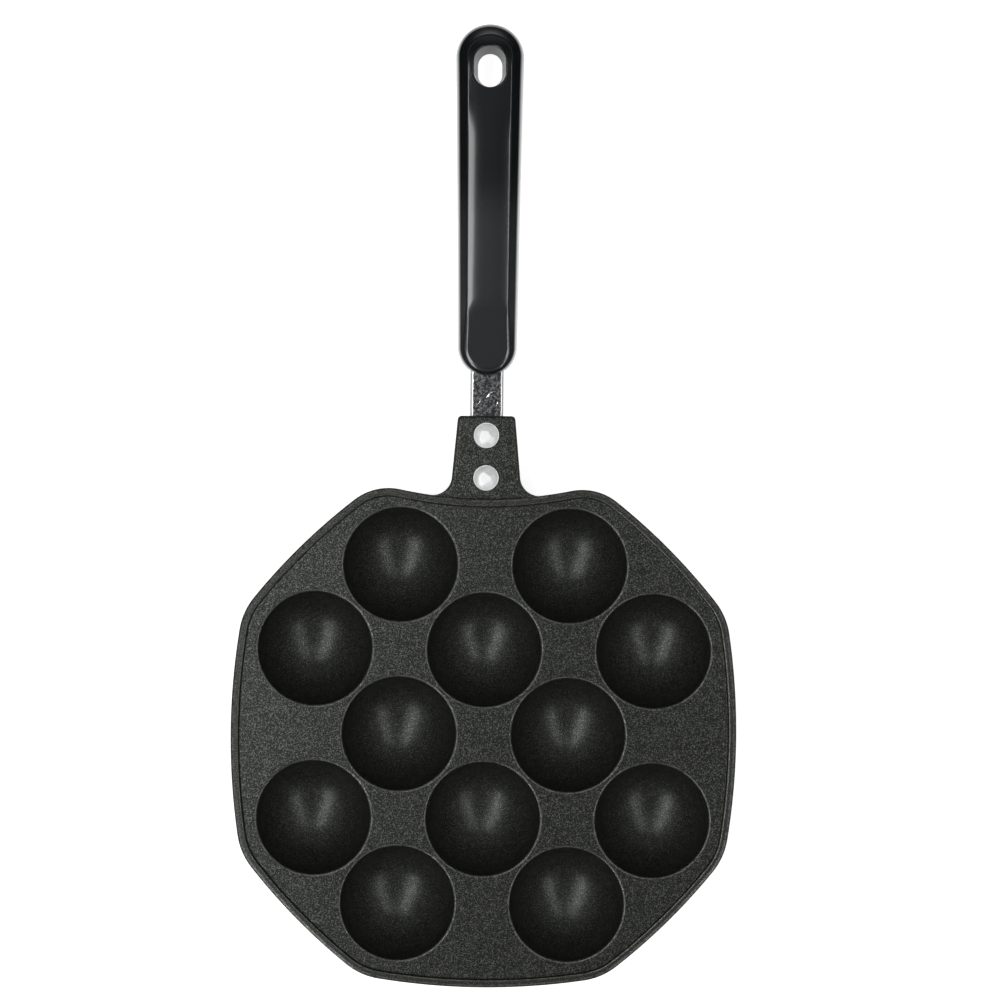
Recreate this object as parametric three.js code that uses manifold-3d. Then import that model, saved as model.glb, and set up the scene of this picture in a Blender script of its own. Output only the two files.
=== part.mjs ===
// A cast stovetop pan with twelve ball-shaped cups, and a riveted handle.
// Millimetres, +Z up. The pan stands on the feet of its cups, and its handle points along +Y.
import * as THREE from "three";
import { mergeVertices } from "three/addons/utils/BufferGeometryUtils.js";
import Module from "manifold-3d";

// Plate: eight bowed sides, each at its own margin from the rims of the outermost cups
const sideMargin = 10.6;
const sideBow = 267;
const diagonalMargin = 10.34;
const diagonalBow = 242;
const cornerRadius = 27;
const tangSideMargin = 3.8;
const tangSideHollow = 165;
const tangCornerRadius = 22;
const plateThickness = 3;

// Rim: a raised lip on top, and a short skirt below
const lipWidth = 3.4;
const lipHeight = 1.4;
const lipSlope = 0.5;
const lipRound = 0.9;
const rimHeight = 8;
const skirtThickness = 2.4;
const skirtDraft = 0.9;
const skirtRootRound = 1.2;

// Cups: every other point of a square lattice, each one a cup that is close to half a ball.
// The land is the narrow flat that is left between two neighbours, which lie on a diagonal.
const cupLand = 2.576;
const cupRimRadius = 22.4;
const cupDepth = 21;
const cupWall = 2.6;
const footRadius = 7;
const footThickness = 2.8;
const latticeReach = 2;

// Tang: the tongue of the casting that carries the handle
const tangLength = 33;
const tangEndWidth = 22.9;
const tangRootWidth = 28.9;
const tangThickness = 4.4;
const tangDrop = 0.4;
const tangCorner = 1.8;
const tangRootFillet = 7.6;

// Strap: a pressed steel channel under the tang, which bends up a little and runs into the grip
const strapWidth = 14;
const strapDepth = 8;
const strapGauge = 1.2;
const strapBendRadius = 2;
const strapSetback = 2.8;
const strapInGrip = 34.2;
const strapRiseGap = 2.3;
const strapRiseRadius = 60;
const strapPitch = THREE.MathUtils.degToRad(3);

// Rivets: domed above the tang, upset below the strap
const rivetFromRoot = 8.3;
const rivetFromEnd = 7.9;
const rivetHeadRadius = 5;
const rivetHeadHeight = 2.1;
const rivetShankRadius = 2.5;
const rivetTailRadius = 4.2;
const rivetTailHeight = 1.6;

// Grip: a moulded handle, measured along the strap from where the strap begins to rise
const gripStart = 13.3;
const gripLength = 139.4;
const gripNoseWidth = 23.5;
const gripTailWidth = 26.9;
const gripNoseFlat = 5.7;
const gripTailFlat = 1.9;
const gripFlareShare = 0.2;
const gripPanelNoseWidth = 16.2;
const gripPanelTailWidth = 17.4;
const gripCrown = 1.2;
const gripTop = 5.8;
const gripWaist = -2.2;
const gripFloor = 2.3;
const gripBelly = 1.8;
const gripSoleWidth = 11;
const gripShoulderShare = 0.9;
const gripFacetLength = 25.2;
const gripFacetDrop = 2.2;
const gripNoseDrop = 2.6;
const gripNoseLift = 1.6;
const gripTailReach = 29;
const gripTailDrop = 6.4;
const gripTailLift = 4.6;

// Hang hole through the grip, which narrows from its mouth on top to its mouth below
const hangHoleFromTail = 17.5;
const hangHoleTopWidth = 12.6;
const hangHoleTopLength = 16.4;
const hangHoleBottomWidth = 9.6;
const hangHoleBottomLength = 12.8;

// Screw that holds the grip on the strap, sunk into the grip's sole
const screwFromStrapEnd = 11.5;
const screwHeadRadius = 3.8;
const screwCrownShare = 0.6;
const screwHeadHeight = 2.2;
const screwShankRadius = 2;
const screwSeatWall = 0.6;
const screwSlotWidth = 1;
const screwSlotLength = 4.6;
const screwSlotDepth = 1.1;

// Fits and facets
const clearance = 0.3;
const overrun = 2;
const weldDistance = 0.001;
const sideSteps = 6;
const cornerSteps = 4;
const cupSegments = 24;
const cupRings = 6;
const bumpRings = 4;
const filletSteps = 4;
const roundSegments = 20;
const crownSteps = 6;
const flankSteps = 4;
const noseSteps = 5;
const facetSteps = 3;
const bodySteps = 3;
const tailSteps = 3;
const capSteps = 7;

// Heights that follow from the sizes above
const plateTop = footThickness + cupDepth;
const plateUnderside = plateTop - plateThickness;
const lipTop = plateTop + lipHeight;
const skirtBottom = lipTop - rimHeight;
const tangTop = plateTop - tangDrop;
const tangUnderside = tangTop - tangThickness;
const strapTop = tangUnderside - clearance;

// Places across the plate, from the middle of the cups
const cupSpacing = (2 * cupRimRadius + cupLand) * Math.SQRT1_2;
const outermostRim = latticeReach * cupSpacing + cupRimRadius;
const diagonalRim = (2 * latticeReach - 1) * cupSpacing * Math.SQRT1_2 + cupRimRadius;
const sideReach = outermostRim + sideMargin;
const diagonalReach = diagonalRim + diagonalMargin;
const tangSideReach = outermostRim + tangSideMargin;
const tangEnd = tangSideReach + tangLength;
const strapStart = tangSideReach + strapSetback;
const strapRiseStart = tangEnd + strapRiseGap;
const rivetPlaces = {
  rivet_near_pan: tangSideReach + rivetFromRoot,
  rivet_near_grip: tangEnd - rivetFromEnd,
};

// Places along the risen strap, from where it begins to rise, and heights from its top
const strapEnd = gripStart + strapInGrip;
const screwPlace = strapEnd - screwFromStrapEnd;
const hangHolePlace = gripStart + gripLength - hangHoleFromTail;
const gripBottom = -strapDepth - clearance - gripFloor;
const screwSeat = -strapDepth - clearance - screwSeatWall;
const gripNoseReach = Math.sqrt(gripNoseWidth ** 2 - gripNoseFlat ** 2) / 2;

const coating = new THREE.MeshStandardMaterial({ color: 0x3c3e3b, roughness: 0.55, metalness: 0.2 });
const steel = new THREE.MeshStandardMaterial({ color: 0x8c8f93, roughness: 0.3, metalness: 0.9 });
const aluminium = new THREE.MeshStandardMaterial({ color: 0xd6d8da, roughness: 0.3, metalness: 1 });
const moulding = new THREE.MeshStandardMaterial({ color: 0x1a1c1d, roughness: 0.2, metalness: 0 });

const wasm = await Module();
wasm.setup();

// A closed geometry as a solid that can be joined to others and cut.
function solidOf(geometry) {
  const bare = geometry.index ? geometry.toNonIndexed() : geometry.clone();
  bare.deleteAttribute("normal");
  bare.deleteAttribute("uv");
  const merged = mergeVertices(bare, weldDistance);
  const mesh = new wasm.Mesh({
    numProp: 3,
    vertProperties: merged.attributes.position.array,
    triVerts: new Uint32Array(merged.index.array),
  });
  return new wasm.Manifold(mesh);
}

// The finished surface of a solid.
function geometryOf(solid) {
  const mesh = solid.getMesh();
  const geometry = new THREE.BufferGeometry();
  geometry.setAttribute("position", new THREE.BufferAttribute(mesh.vertProperties, 3));
  geometry.setIndex(new THREE.BufferAttribute(mesh.triVerts, 1));
  geometry.computeVertexNormals();
  return geometry;
}

function named(name, solid, material) {
  const mesh = new THREE.Mesh(geometryOf(solid), material);
  mesh.name = name;
  return mesh;
}

// The triangles of a flat end, turned to the side that is asked for.
function capOf(ring, firstIndex, flatten, sign) {
  const outline = ring.map(flatten);
  const faces = THREE.ShapeUtils.triangulateShape(outline, []);
  return faces.flatMap(([a, b, c]) => {
    const turn = THREE.ShapeUtils.area([outline[a], outline[b], outline[c]]) * sign;
    return (turn > 0 ? [a, b, c] : [a, c, b]).map((corner) => corner + firstIndex);
  });
}

// A closed body through a row of rings with as many points each, and a flat cap at both ends.
// Each ring runs counter-clockwise, seen from the end that the row leads to.
function loft(rings, flatten, sign) {
  const count = rings[0].length;
  const faces = [];
  for (let ring = 0; ring < rings.length - 1; ring++) {
    for (let i = 0; i < count; i++) {
      const here = ring * count + i;
      const next = ring * count + ((i + 1) % count);
      faces.push(here, next, next + count, here, next + count, here + count);
    }
  }
  faces.push(...capOf(rings[0], 0, flatten, -sign));
  faces.push(...capOf(rings.at(-1), (rings.length - 1) * count, flatten, sign));
  const geometry = new THREE.BufferGeometry().setFromPoints(rings.flat());
  geometry.setIndex(faces);
  return solidOf(geometry);
}

// A loft of level rings that rises along +Z.
const loftUp = (rings) => loft(rings, (p) => new THREE.Vector2(p.x, p.y), 1);

// A loft of upright rings that runs along +Y. Each ring is clockwise, seen with +X to the right.
const loftAlong = (rings) => loft(rings, (p) => new THREE.Vector2(p.x, p.z), -1);

// A body turned about +Z from a profile of [radius, height] points that rises from axis to axis.
function turned(profile, segments) {
  const points = profile.map(([radius, height]) => new THREE.Vector2(radius, height));
  return solidOf(new THREE.LatheGeometry(points, segments).rotateX(Math.PI / 2));
}

function unit(angle) {
  return new THREE.Vector2(Math.cos(angle), Math.sin(angle));
}

// The point where two circles cross, on the side that a direction points to.
function crossing(centreA, radiusA, centreB, radiusB, towards) {
  const between = centreB.clone().sub(centreA);
  const distance = between.length();
  const along = (radiusA ** 2 - radiusB ** 2 + distance ** 2) / (2 * distance);
  const away = Math.sqrt(radiusA ** 2 - along ** 2);
  const direction = between.divideScalar(distance);
  const foot = centreA.clone().addScaledVector(direction, along);
  const across = new THREE.Vector2(-direction.y, direction.x);
  const side = Math.sign(across.dot(towards));
  return foot.addScaledVector(across, away * side);
}

// The eight sides of the plate, counter-clockwise from the one opposite the tang.
// A side bowed inward has a negative radius, and its centre lies outside the plate.
function plateSides() {
  const sides = [];
  const eighth = Math.PI / 4;
  for (let i = 0; i < 8; i++) {
    const direction = unit(i * eighth - Math.PI / 2);
    const diagonal = i % 2 === 1;
    const atTang = i === 4;
    const reach = atTang ? tangSideReach : diagonal ? diagonalReach : sideReach;
    const radius = atTang ? -tangSideHollow : diagonal ? diagonalBow : sideBow;
    const centre = direction.clone().multiplyScalar(reach - radius);
    sides.push({ centre, radius, direction, atTang, steps: sideSteps });
  }
  return sides;
}

// The plate's whole edge as arcs: each side, and then the corner that joins it to the next side.
function plateArcs() {
  const sides = plateSides();
  const corners = sides.map((side, i) => {
    const next = sides[(i + 1) % sides.length];
    const radius = side.atTang || next.atTang ? tangCornerRadius : cornerRadius;
    const towards = side.direction.clone().add(next.direction);
    const reachA = Math.abs(side.radius - radius);
    const reachB = Math.abs(next.radius - radius);
    const centre = crossing(side.centre, reachA, next.centre, reachB, towards);
    return { centre, radius, steps: cornerSteps };
  });
  const touch = (side, corner) =>
    corner.centre.clone().sub(side.centre).divideScalar(side.radius - corner.radius).angle();
  return sides.flatMap((side, i) => {
    const before = corners[(i + corners.length - 1) % corners.length];
    const after = corners[i];
    const next = sides[(i + 1) % sides.length];
    const start = touch(side, before);
    const end = touch(side, after);
    return [
      { ...side, from: start, to: end },
      { ...after, from: end, to: touch(next, after) },
    ];
  });
}

const edgeArcs = plateArcs();

// The plate's edge moved inward by an inset, as a level ring at a height.
function plateRing(inset, height) {
  return edgeArcs.flatMap(({ centre, radius, from, to, steps }) => {
    const turn = THREE.MathUtils.euclideanModulo(to - from + Math.PI, 2 * Math.PI) - Math.PI;
    return Array.from({ length: steps }, (_, i) => {
      const point = centre.clone().addScaledVector(unit(from + (turn * i) / steps), radius - inset);
      return new THREE.Vector3(point.x, point.y, height);
    });
  });
}

// The plate with its lip and skirt, from inside the skirt down, round the edge and up to the top.
function plate() {
  const skirtTop = skirtThickness + skirtDraft;
  const lipOutside = lipTop - lipRound;
  const lipShoulder = lipRound * (1 - Math.SQRT1_2);
  return loftUp([
    plateRing(skirtTop + skirtRootRound, plateUnderside),
    plateRing(skirtTop, plateUnderside - skirtRootRound),
    plateRing(skirtThickness, skirtBottom),
    plateRing(skirtDraft, skirtBottom),
    plateRing(0, lipOutside),
    plateRing(lipShoulder, lipTop - lipShoulder),
    plateRing(lipRound, lipTop),
    plateRing(lipWidth - lipSlope, lipTop),
    plateRing(lipWidth, plateTop),
  ]);
}

// The centres of the cups: the lattice points whose row and column add up to an odd number.
function cupPlaces() {
  const places = [];
  for (let row = -latticeReach; row <= latticeReach; row++) {
    for (let column = -latticeReach; column <= latticeReach; column++) {
      if ((row + column) % 2 !== 0) places.push([column * cupSpacing, row * cupSpacing]);
    }
  }
  return places;
}

// The ball that a cup is cut with has this radius, and its centre lies above the plate's top.
const ballRadius = (cupRimRadius ** 2 + cupDepth ** 2) / (2 * cupDepth);
const ballHeight = plateTop + ballRadius - cupDepth;

// The hollow of one cup, from its floor to past the plate's top.
function cupHollow() {
  const profile = [];
  const rimAngle = Math.acos((ballHeight - plateTop) / ballRadius);
  for (let i = 0; i <= cupRings; i++) {
    const angle = (rimAngle * i) / cupRings;
    profile.push([ballRadius * Math.sin(angle), ballHeight - ballRadius * Math.cos(angle)]);
  }
  profile.push([cupRimRadius, plateTop + overrun]);
  profile.push([0, plateTop + overrun]);
  return turned(profile, cupSegments);
}

// The outside of one cup, from its flat foot up into the plate.
function cupBump() {
  const radius = ballRadius + cupWall;
  const height = Math.sqrt(radius ** 2 - footRadius ** 2);
  const top = plateTop - plateThickness / 2;
  const footAngle = Math.asin(footRadius / radius);
  const topAngle = Math.acos((height - top) / radius);
  const profile = [[0, 0]];
  for (let i = 0; i <= bumpRings; i++) {
    const angle = footAngle + ((topAngle - footAngle) * i) / bumpRings;
    profile.push([radius * Math.sin(angle), height - radius * Math.cos(angle)]);
  }
  profile[1][1] = 0;
  profile.push([0, top]);
  return turned(profile, cupSegments);
}

// The tang's outline: a tapering tongue with rounded outer corners, and with root fillets that
// touch its sides and the hollow edge of the plate.
function tangOutline() {
  const endHalf = tangEndWidth / 2;
  const rootHalf = tangRootWidth / 2;
  const slope = Math.atan2(rootHalf - endHalf, tangLength);
  const outward = unit(slope);
  const along = new THREE.Vector2(-outward.y, outward.x);
  const hollow = new THREE.Vector2(0, tangSideReach + tangSideHollow);
  const reach = tangSideHollow - tangRootFillet;
  const track = new THREE.Vector2(rootHalf, tangSideReach).sub(hollow);
  track.addScaledVector(outward, tangRootFillet);
  const forward = -track.dot(along);
  const step = forward - Math.sqrt(forward ** 2 - track.lengthSq() + reach ** 2);
  const fillet = hollow.clone().add(track).addScaledVector(along, step);
  const root = hollow.clone().sub(fillet).angle();
  const rootX = fillet.x - tangRootFillet * Math.cos(root);
  const inside = tangSideReach - lipWidth;
  const cornerX = endHalf - tangCorner * Math.tan((Math.PI / 2 - slope) / 2);
  const cornerY = tangEnd - tangCorner;
  const shape = new THREE.Shape();
  shape.moveTo(-rootX, inside);
  shape.lineTo(rootX, inside);
  shape.absarc(fillet.x, fillet.y, tangRootFillet, root - Math.PI, slope - Math.PI, true);
  shape.absarc(cornerX, cornerY, tangCorner, slope, Math.PI / 2, false);
  shape.absarc(-cornerX, cornerY, tangCorner, Math.PI / 2, Math.PI - slope, false);
  shape.absarc(-fillet.x, fillet.y, tangRootFillet, -slope, -root, true);
  return shape;
}

function tang() {
  const options = { depth: tangThickness, bevelEnabled: false, curveSegments: filletSteps };
  const geometry = new THREE.ExtrudeGeometry(tangOutline(), options);
  return solidOf(geometry.translate(0, 0, tangUnderside));
}

function rod(radius, bottom, top, x, y) {
  const geometry = new THREE.CylinderGeometry(radius, radius, top - bottom, roundSegments);
  return solidOf(geometry.rotateX(Math.PI / 2).translate(x, y, (top + bottom) / 2));
}

// The whole casting: plate, cups and tang in one piece, with the rivet holes.
function panCasting() {
  const bump = cupBump();
  const hollow = cupHollow();
  let body = plate().add(tang());
  for (const [x, y] of cupPlaces()) body = body.add(bump.translate([x, y, 0]));
  for (const [x, y] of cupPlaces()) body = body.subtract(hollow.translate([x, y, 0]));
  const holeRadius = rivetShankRadius + clearance;
  for (const y of Object.values(rivetPlaces)) {
    const hole = rod(holeRadius, tangUnderside - overrun, tangTop + overrun, 0, y);
    body = body.subtract(hole);
  }
  return body;
}

// The strap's section as [across, up] points, from the foot of its left flange and clockwise.
// Height 0 is the top of its web, and it can be grown on every side for the slot that it fits.
function channelSection(growth) {
  const outer = strapWidth / 2 + growth;
  const inner = strapWidth / 2 - strapGauge - growth;
  const foot = -strapDepth - growth;
  const underweb = -strapGauge - growth;
  const outerBend = strapBendRadius + growth;
  const innerBend = strapBendRadius - strapGauge - growth;
  const quarter = (x, z, radius, from, to) =>
    Array.from({ length: filletSteps + 1 }, (_, i) => {
      const direction = unit(from + ((to - from) * i) / filletSteps);
      return [x + radius * direction.x, z + radius * direction.y];
    });
  const up = Math.PI / 2;
  return [
    [-outer, foot],
    ...quarter(outerBend - outer, growth - outerBend, outerBend, Math.PI, up),
    ...quarter(outer - outerBend, growth - outerBend, outerBend, up, 0),
    [outer, foot],
    [inner, foot],
    ...quarter(inner - innerBend, underweb - innerBend, innerBend, 0, up),
    ...quarter(innerBend - inner, underweb - innerBend, innerBend, up, Math.PI),
    [-inner, foot],
  ];
}

// A section stood upright across the part, at a place along it and leaning back by a pitch.
function stand(section, y, z, pitch) {
  return section.map(
    ([across, up]) =>
      new THREE.Vector3(across, y - up * Math.sin(pitch), z + up * Math.cos(pitch)),
  );
}

// The strap: level under the tang, then a gentle bend, then straight along the grip.
function handleStrap() {
  const section = channelSection(0);
  const rings = [stand(section, strapStart, strapTop, 0)];
  const bendStart = strapRiseStart - strapRiseRadius * Math.tan(strapPitch / 2);
  for (let i = 0; i <= filletSteps; i++) {
    const pitch = (strapPitch * i) / filletSteps;
    const y = bendStart + strapRiseRadius * Math.sin(pitch);
    const z = strapTop + strapRiseRadius * (1 - Math.cos(pitch));
    rings.push(stand(section, y, z, pitch));
  }
  const endY = strapRiseStart + strapEnd * Math.cos(strapPitch);
  const endZ = strapTop + strapEnd * Math.sin(strapPitch);
  rings.push(stand(section, endY, endZ, strapPitch));
  let body = loftAlong(rings);
  for (const y of Object.values(rivetPlaces)) {
    const hole = rod(rivetShankRadius + clearance, strapTop - strapDepth, strapTop + overrun, 0, y);
    body = body.subtract(hole);
  }
  const screwHole = rod(screwShankRadius + clearance, -strapDepth, overrun, 0, screwPlace);
  return body.subtract(onArm(screwHole));
}

// Moves a solid that is made along the grip to its place on the risen strap.
function onArm(solid) {
  const turn = THREE.MathUtils.radToDeg(strapPitch);
  return solid.rotate([turn, 0, 0]).translate([0, strapRiseStart, strapTop]);
}

// A rivet as it sits: dome, shank and upset tail, with its middle on the axis.
function rivet() {
  const seat = tangTop + clearance;
  const tail = strapTop - strapGauge - clearance;
  const profile = [
    [0, tail - rivetTailHeight],
    [rivetShankRadius, tail - rivetTailHeight],
    [rivetTailRadius, tail - rivetTailHeight / 2],
    [rivetTailRadius, tail],
    [rivetShankRadius, tail],
    [rivetShankRadius, seat],
  ];
  const domeRadius = (rivetHeadRadius ** 2 + rivetHeadHeight ** 2) / (2 * rivetHeadHeight);
  const rimAngle = Math.asin(rivetHeadRadius / domeRadius);
  for (let i = 0; i <= filletSteps; i++) {
    const angle = rimAngle * (1 - i / filletSteps);
    const radius = domeRadius * Math.sin(angle);
    profile.push([radius, seat + rivetHeadHeight - domeRadius * (1 - Math.cos(angle))]);
  }
  return turned(profile, roundSegments);
}

// A smooth step from 0 to 1.
const ease = (share) => THREE.MathUtils.smoothstep(share, 0, 1);

// The grip's sizes at a distance from its nose: half widths, and the heights of its five lines.
function gripAt(along) {
  const share = along / gripLength;
  const tailShare = Math.max(0, (along - gripLength + gripTailReach) / gripTailReach);
  const tailRadius = gripTailWidth / 2;
  const toTail = Math.max(0, along - gripLength + tailRadius);
  const toNose = Math.max(0, gripNoseReach - along);
  const tailRound = Math.sqrt(Math.max(0, 1 - (toTail / tailRadius) ** 2));
  const noseRound = Math.sqrt(1 - (toNose / (gripNoseWidth / 2)) ** 2);
  const spread = THREE.MathUtils.inverseLerp(gripNoseReach, gripLength - tailRadius, along);
  const widening = THREE.MathUtils.clamp(spread, 0, 1);
  const flare = THREE.MathUtils.lerp(widening, widening ** 3, gripFlareShare);
  const half = THREE.MathUtils.lerp(gripNoseWidth, gripTailWidth, flare) / 2;
  const width = half * tailRound * noseRound;
  const panel = THREE.MathUtils.lerp(gripPanelNoseWidth, gripPanelTailWidth, widening) / 2;
  const facet = Math.max(0, 1 - along / gripFacetLength);
  const nose = ease(toNose / gripNoseReach);
  const top = gripTop - gripFacetDrop * facet - gripNoseDrop * nose - gripTailDrop * tailShare ** 3;
  const belly = gripBelly * Math.sin(Math.PI * Math.min(1, share));
  const bottom = gripBottom - belly + gripNoseLift * nose + gripTailLift * tailShare ** 3;
  return {
    width,
    panel: panel * (width / half),
    top,
    crease: top - gripCrown * tailRound * noseRound,
    waist: gripWaist,
    bottom,
    sole: (gripSoleWidth / 2) * (width / half),
  };
}

// The right half of a grip section, from the crown down to the sole: a crowned panel, a crease,
// a steep flank that turns upright at the waist, and a rounded underside.
function gripHalfSection({ width, panel, top, crease, waist, bottom, sole }) {
  const crown = [];
  for (let i = 1; i <= crownSteps / 2; i++) {
    const share = (2 * i) / crownSteps;
    crown.push(new THREE.Vector2(panel * share, top - (top - crease) * share ** 2));
  }
  const corner = new THREE.Vector2(panel, crease);
  const shoulder = new THREE.Vector2(width, crease - (width - panel) * gripShoulderShare);
  const widest = new THREE.Vector2(width, Math.min(waist, shoulder.y));
  const flank = new THREE.QuadraticBezierCurve(corner, shoulder, widest).getPoints(flankSteps);
  const turn = new THREE.Vector2(width, bottom);
  const heel = new THREE.Vector2(sole, bottom);
  const under = new THREE.QuadraticBezierCurve(widest, turn, heel).getPoints(flankSteps);
  return [...crown, ...flank.slice(1), ...under.slice(1)];
}

function gripSection(along) {
  const sizes = gripAt(along);
  const right = gripHalfSection(sizes).map(({ x, y }) => [x, y]);
  const left = right.map(([x, z]) => [-x, z]).reverse();
  return [[0, sizes.top], ...right, ...left];
}

// A stadium-shaped ring across the hang hole at a height, as wide and long as it is asked to be.
function hangHoleRing(width, length, height) {
  const radius = width / 2;
  const straight = (length - width) / 2;
  const half = roundSegments / 2;
  return [1, -1].flatMap((side) =>
    Array.from({ length: half + 1 }, (_, i) => {
      const direction = unit((Math.PI * i) / half);
      const x = radius * direction.x * side;
      const y = hangHolePlace + side * (straight + radius * direction.y);
      return new THREE.Vector3(x, y, height);
    }),
  );
}

// The grip, made along the strap: its body, less the strap's slot, the screw's hole and the hang hole.
function handleGrip() {
  const places = gripPlaces();
  let body = loftAlong(places.map((along) => stand(gripSection(along), gripStart + along, 0, 0)));
  const slot = channelSection(clearance);
  const slotEnd = stand(slot, strapEnd + clearance, 0, 0);
  body = body.subtract(loftAlong([stand(slot, 0, 0, 0), slotEnd]));
  const under = gripBottom - gripBelly - overrun;
  body = body.subtract(rod(screwShankRadius + clearance, under, 0, 0, screwPlace));
  body = body.subtract(rod(screwHeadRadius + clearance, under, screwSeat, 0, screwPlace));
  const above = gripTop + overrun;
  return body.subtract(
    loftUp([
      hangHoleRing(hangHoleBottomWidth, hangHoleBottomLength, under),
      hangHoleRing(hangHoleBottomWidth, hangHoleBottomLength, gripBottom),
      hangHoleRing(hangHoleTopWidth, hangHoleTopLength, gripTop),
      hangHoleRing(hangHoleTopWidth, hangHoleTopLength, above),
    ]),
  );
}

// Where the grip's sections stand: close together round its nose and tail, wide apart between.
function gripPlaces() {
  const tailRadius = gripTailWidth / 2;
  const places = [];
  for (let i = 0; i < noseSteps; i++) places.push((gripNoseReach * i) / noseSteps);
  for (let i = 0; i <= facetSteps; i++) {
    places.push(THREE.MathUtils.lerp(gripNoseReach, gripFacetLength, i / facetSteps));
  }
  const bodyEnd = gripLength - gripTailReach;
  for (let i = 1; i <= bodySteps; i++) {
    places.push(THREE.MathUtils.lerp(gripFacetLength, bodyEnd, i / bodySteps));
  }
  for (let i = 1; i <= tailSteps; i++) {
    places.push(THREE.MathUtils.lerp(bodyEnd, gripLength - tailRadius, i / tailSteps));
  }
  const tailTurn = Math.acos(gripTailFlat / gripTailWidth);
  for (let i = 1; i <= capSteps; i++) {
    const angle = tailTurn * (i / capSteps);
    places.push(gripLength - tailRadius * (1 - Math.sin(angle)));
  }
  return places;
}

// The screw as it sits: a pan head with a cross slot, and its shank up into the strap.
function gripScrew() {
  const seat = screwSeat - clearance;
  const head = seat - screwHeadHeight;
  const profile = [
    [0, head],
    [screwHeadRadius * screwCrownShare, head],
    [screwHeadRadius, head + screwHeadHeight / 2],
    [screwHeadRadius, seat],
    [screwShankRadius, seat],
    [screwShankRadius, 0],
    [0, 0],
  ];
  let body = turned(profile, roundSegments);
  for (const turn of [0, Math.PI / 2]) {
    const slot = new THREE.BoxGeometry(screwSlotWidth, screwSlotLength, 2 * screwSlotDepth);
    body = body.subtract(solidOf(slot.rotateZ(turn).translate(0, 0, head)));
  }
  return body.translate([0, screwPlace, 0]);
}

const pan = new THREE.Group();
pan.add(named("pan_casting", panCasting(), coating));
pan.add(named("handle_strap", handleStrap(), steel));
for (const [name, y] of Object.entries(rivetPlaces)) {
  const mesh = named(name, rivet(), aluminium);
  mesh.position.y = y;
  pan.add(mesh);
}

const arm = new THREE.Group();
arm.position.set(0, strapRiseStart, strapTop);
arm.rotation.x = strapPitch;
arm.add(named("handle_grip", handleGrip(), moulding));
arm.add(named("grip_screw", gripScrew(), steel));
pan.add(arm);

// The origin lies on the hob, under the middle of the part's overall length.
const part = new THREE.Group();
part.add(pan);
const bounds = new THREE.Box3().setFromObject(part, true);
pan.position.y = -bounds.getCenter(new THREE.Vector3()).y;

export default part;
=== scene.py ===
import math

import bmesh
import bpy
import numpy as np
from mathutils import Matrix, Vector
from mathutils.geometry import delaunay_2d_cdt


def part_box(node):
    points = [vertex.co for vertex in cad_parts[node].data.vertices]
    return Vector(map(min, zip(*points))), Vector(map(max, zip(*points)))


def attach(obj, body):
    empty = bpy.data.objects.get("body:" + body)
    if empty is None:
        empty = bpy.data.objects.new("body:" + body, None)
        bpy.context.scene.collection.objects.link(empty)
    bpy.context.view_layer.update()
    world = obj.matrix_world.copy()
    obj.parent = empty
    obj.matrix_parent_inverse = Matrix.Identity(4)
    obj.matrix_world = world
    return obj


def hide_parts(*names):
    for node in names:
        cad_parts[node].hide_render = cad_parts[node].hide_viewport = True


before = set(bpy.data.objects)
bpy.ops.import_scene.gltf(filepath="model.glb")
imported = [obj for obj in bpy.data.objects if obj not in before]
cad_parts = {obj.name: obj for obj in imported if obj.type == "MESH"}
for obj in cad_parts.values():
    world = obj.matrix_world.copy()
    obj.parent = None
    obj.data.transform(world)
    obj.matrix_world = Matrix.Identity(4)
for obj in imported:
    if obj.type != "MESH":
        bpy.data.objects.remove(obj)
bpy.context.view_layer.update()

# A cast stovetop pan with twelve ball-shaped cups, a riveted steel strap and a moulded grip.
# Shapes are worked out in millimetres from the middle of the cups, and turned into the frame's
# metres when a piece is made.
MM = 0.001
FAR = 10000
SQUARE = ((-1, -1), (1, -1), (1, 1), (-1, 1))

# Plate: eight bowed sides round the cups
CUP_RIM_RADIUS = 22.4
CUP_LAND = 2.576
SIDE_MARGIN = 10.6
DIAGONAL_MARGIN = 10.34
TANG_SIDE_MARGIN = 3.8
CUP_SPACING = (2 * CUP_RIM_RADIUS + CUP_LAND) * math.sqrt(0.5)
LATTICE_REACH = 2
OUTERMOST_RIM = LATTICE_REACH * CUP_SPACING + CUP_RIM_RADIUS
DIAGONAL_RIM = (2 * LATTICE_REACH - 1) * CUP_SPACING * math.sqrt(0.5) + CUP_RIM_RADIUS
SIDE_REACH = OUTERMOST_RIM + SIDE_MARGIN
SIDE_BOW = 267
DIAGONAL_REACH = DIAGONAL_RIM + DIAGONAL_MARGIN
DIAGONAL_BOW = 242
CORNER_RADIUS = 27
TANG_SIDE_REACH = OUTERMOST_RIM + TANG_SIDE_MARGIN
TANG_SIDE_HOLLOW = 165
TANG_CORNER_RADIUS = 22

# Heights of the casting
CLEARANCE = 0.3
FOOT_THICKNESS = 2.8
CUP_DEPTH = 21
PLATE_THICKNESS = 3
LIP_HEIGHT = 1.4
RIM_HEIGHT = 8
TANG_DROP = 0.4
TANG_THICKNESS = 4.4
PLATE_TOP = FOOT_THICKNESS + CUP_DEPTH
PLATE_UNDERSIDE = PLATE_TOP - PLATE_THICKNESS
LIP_TOP = PLATE_TOP + LIP_HEIGHT
SKIRT_BOTTOM = LIP_TOP - RIM_HEIGHT
TANG_TOP = PLATE_TOP - TANG_DROP
TANG_UNDERSIDE = TANG_TOP - TANG_THICKNESS
STRAP_TOP = TANG_UNDERSIDE - CLEARANCE

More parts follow.
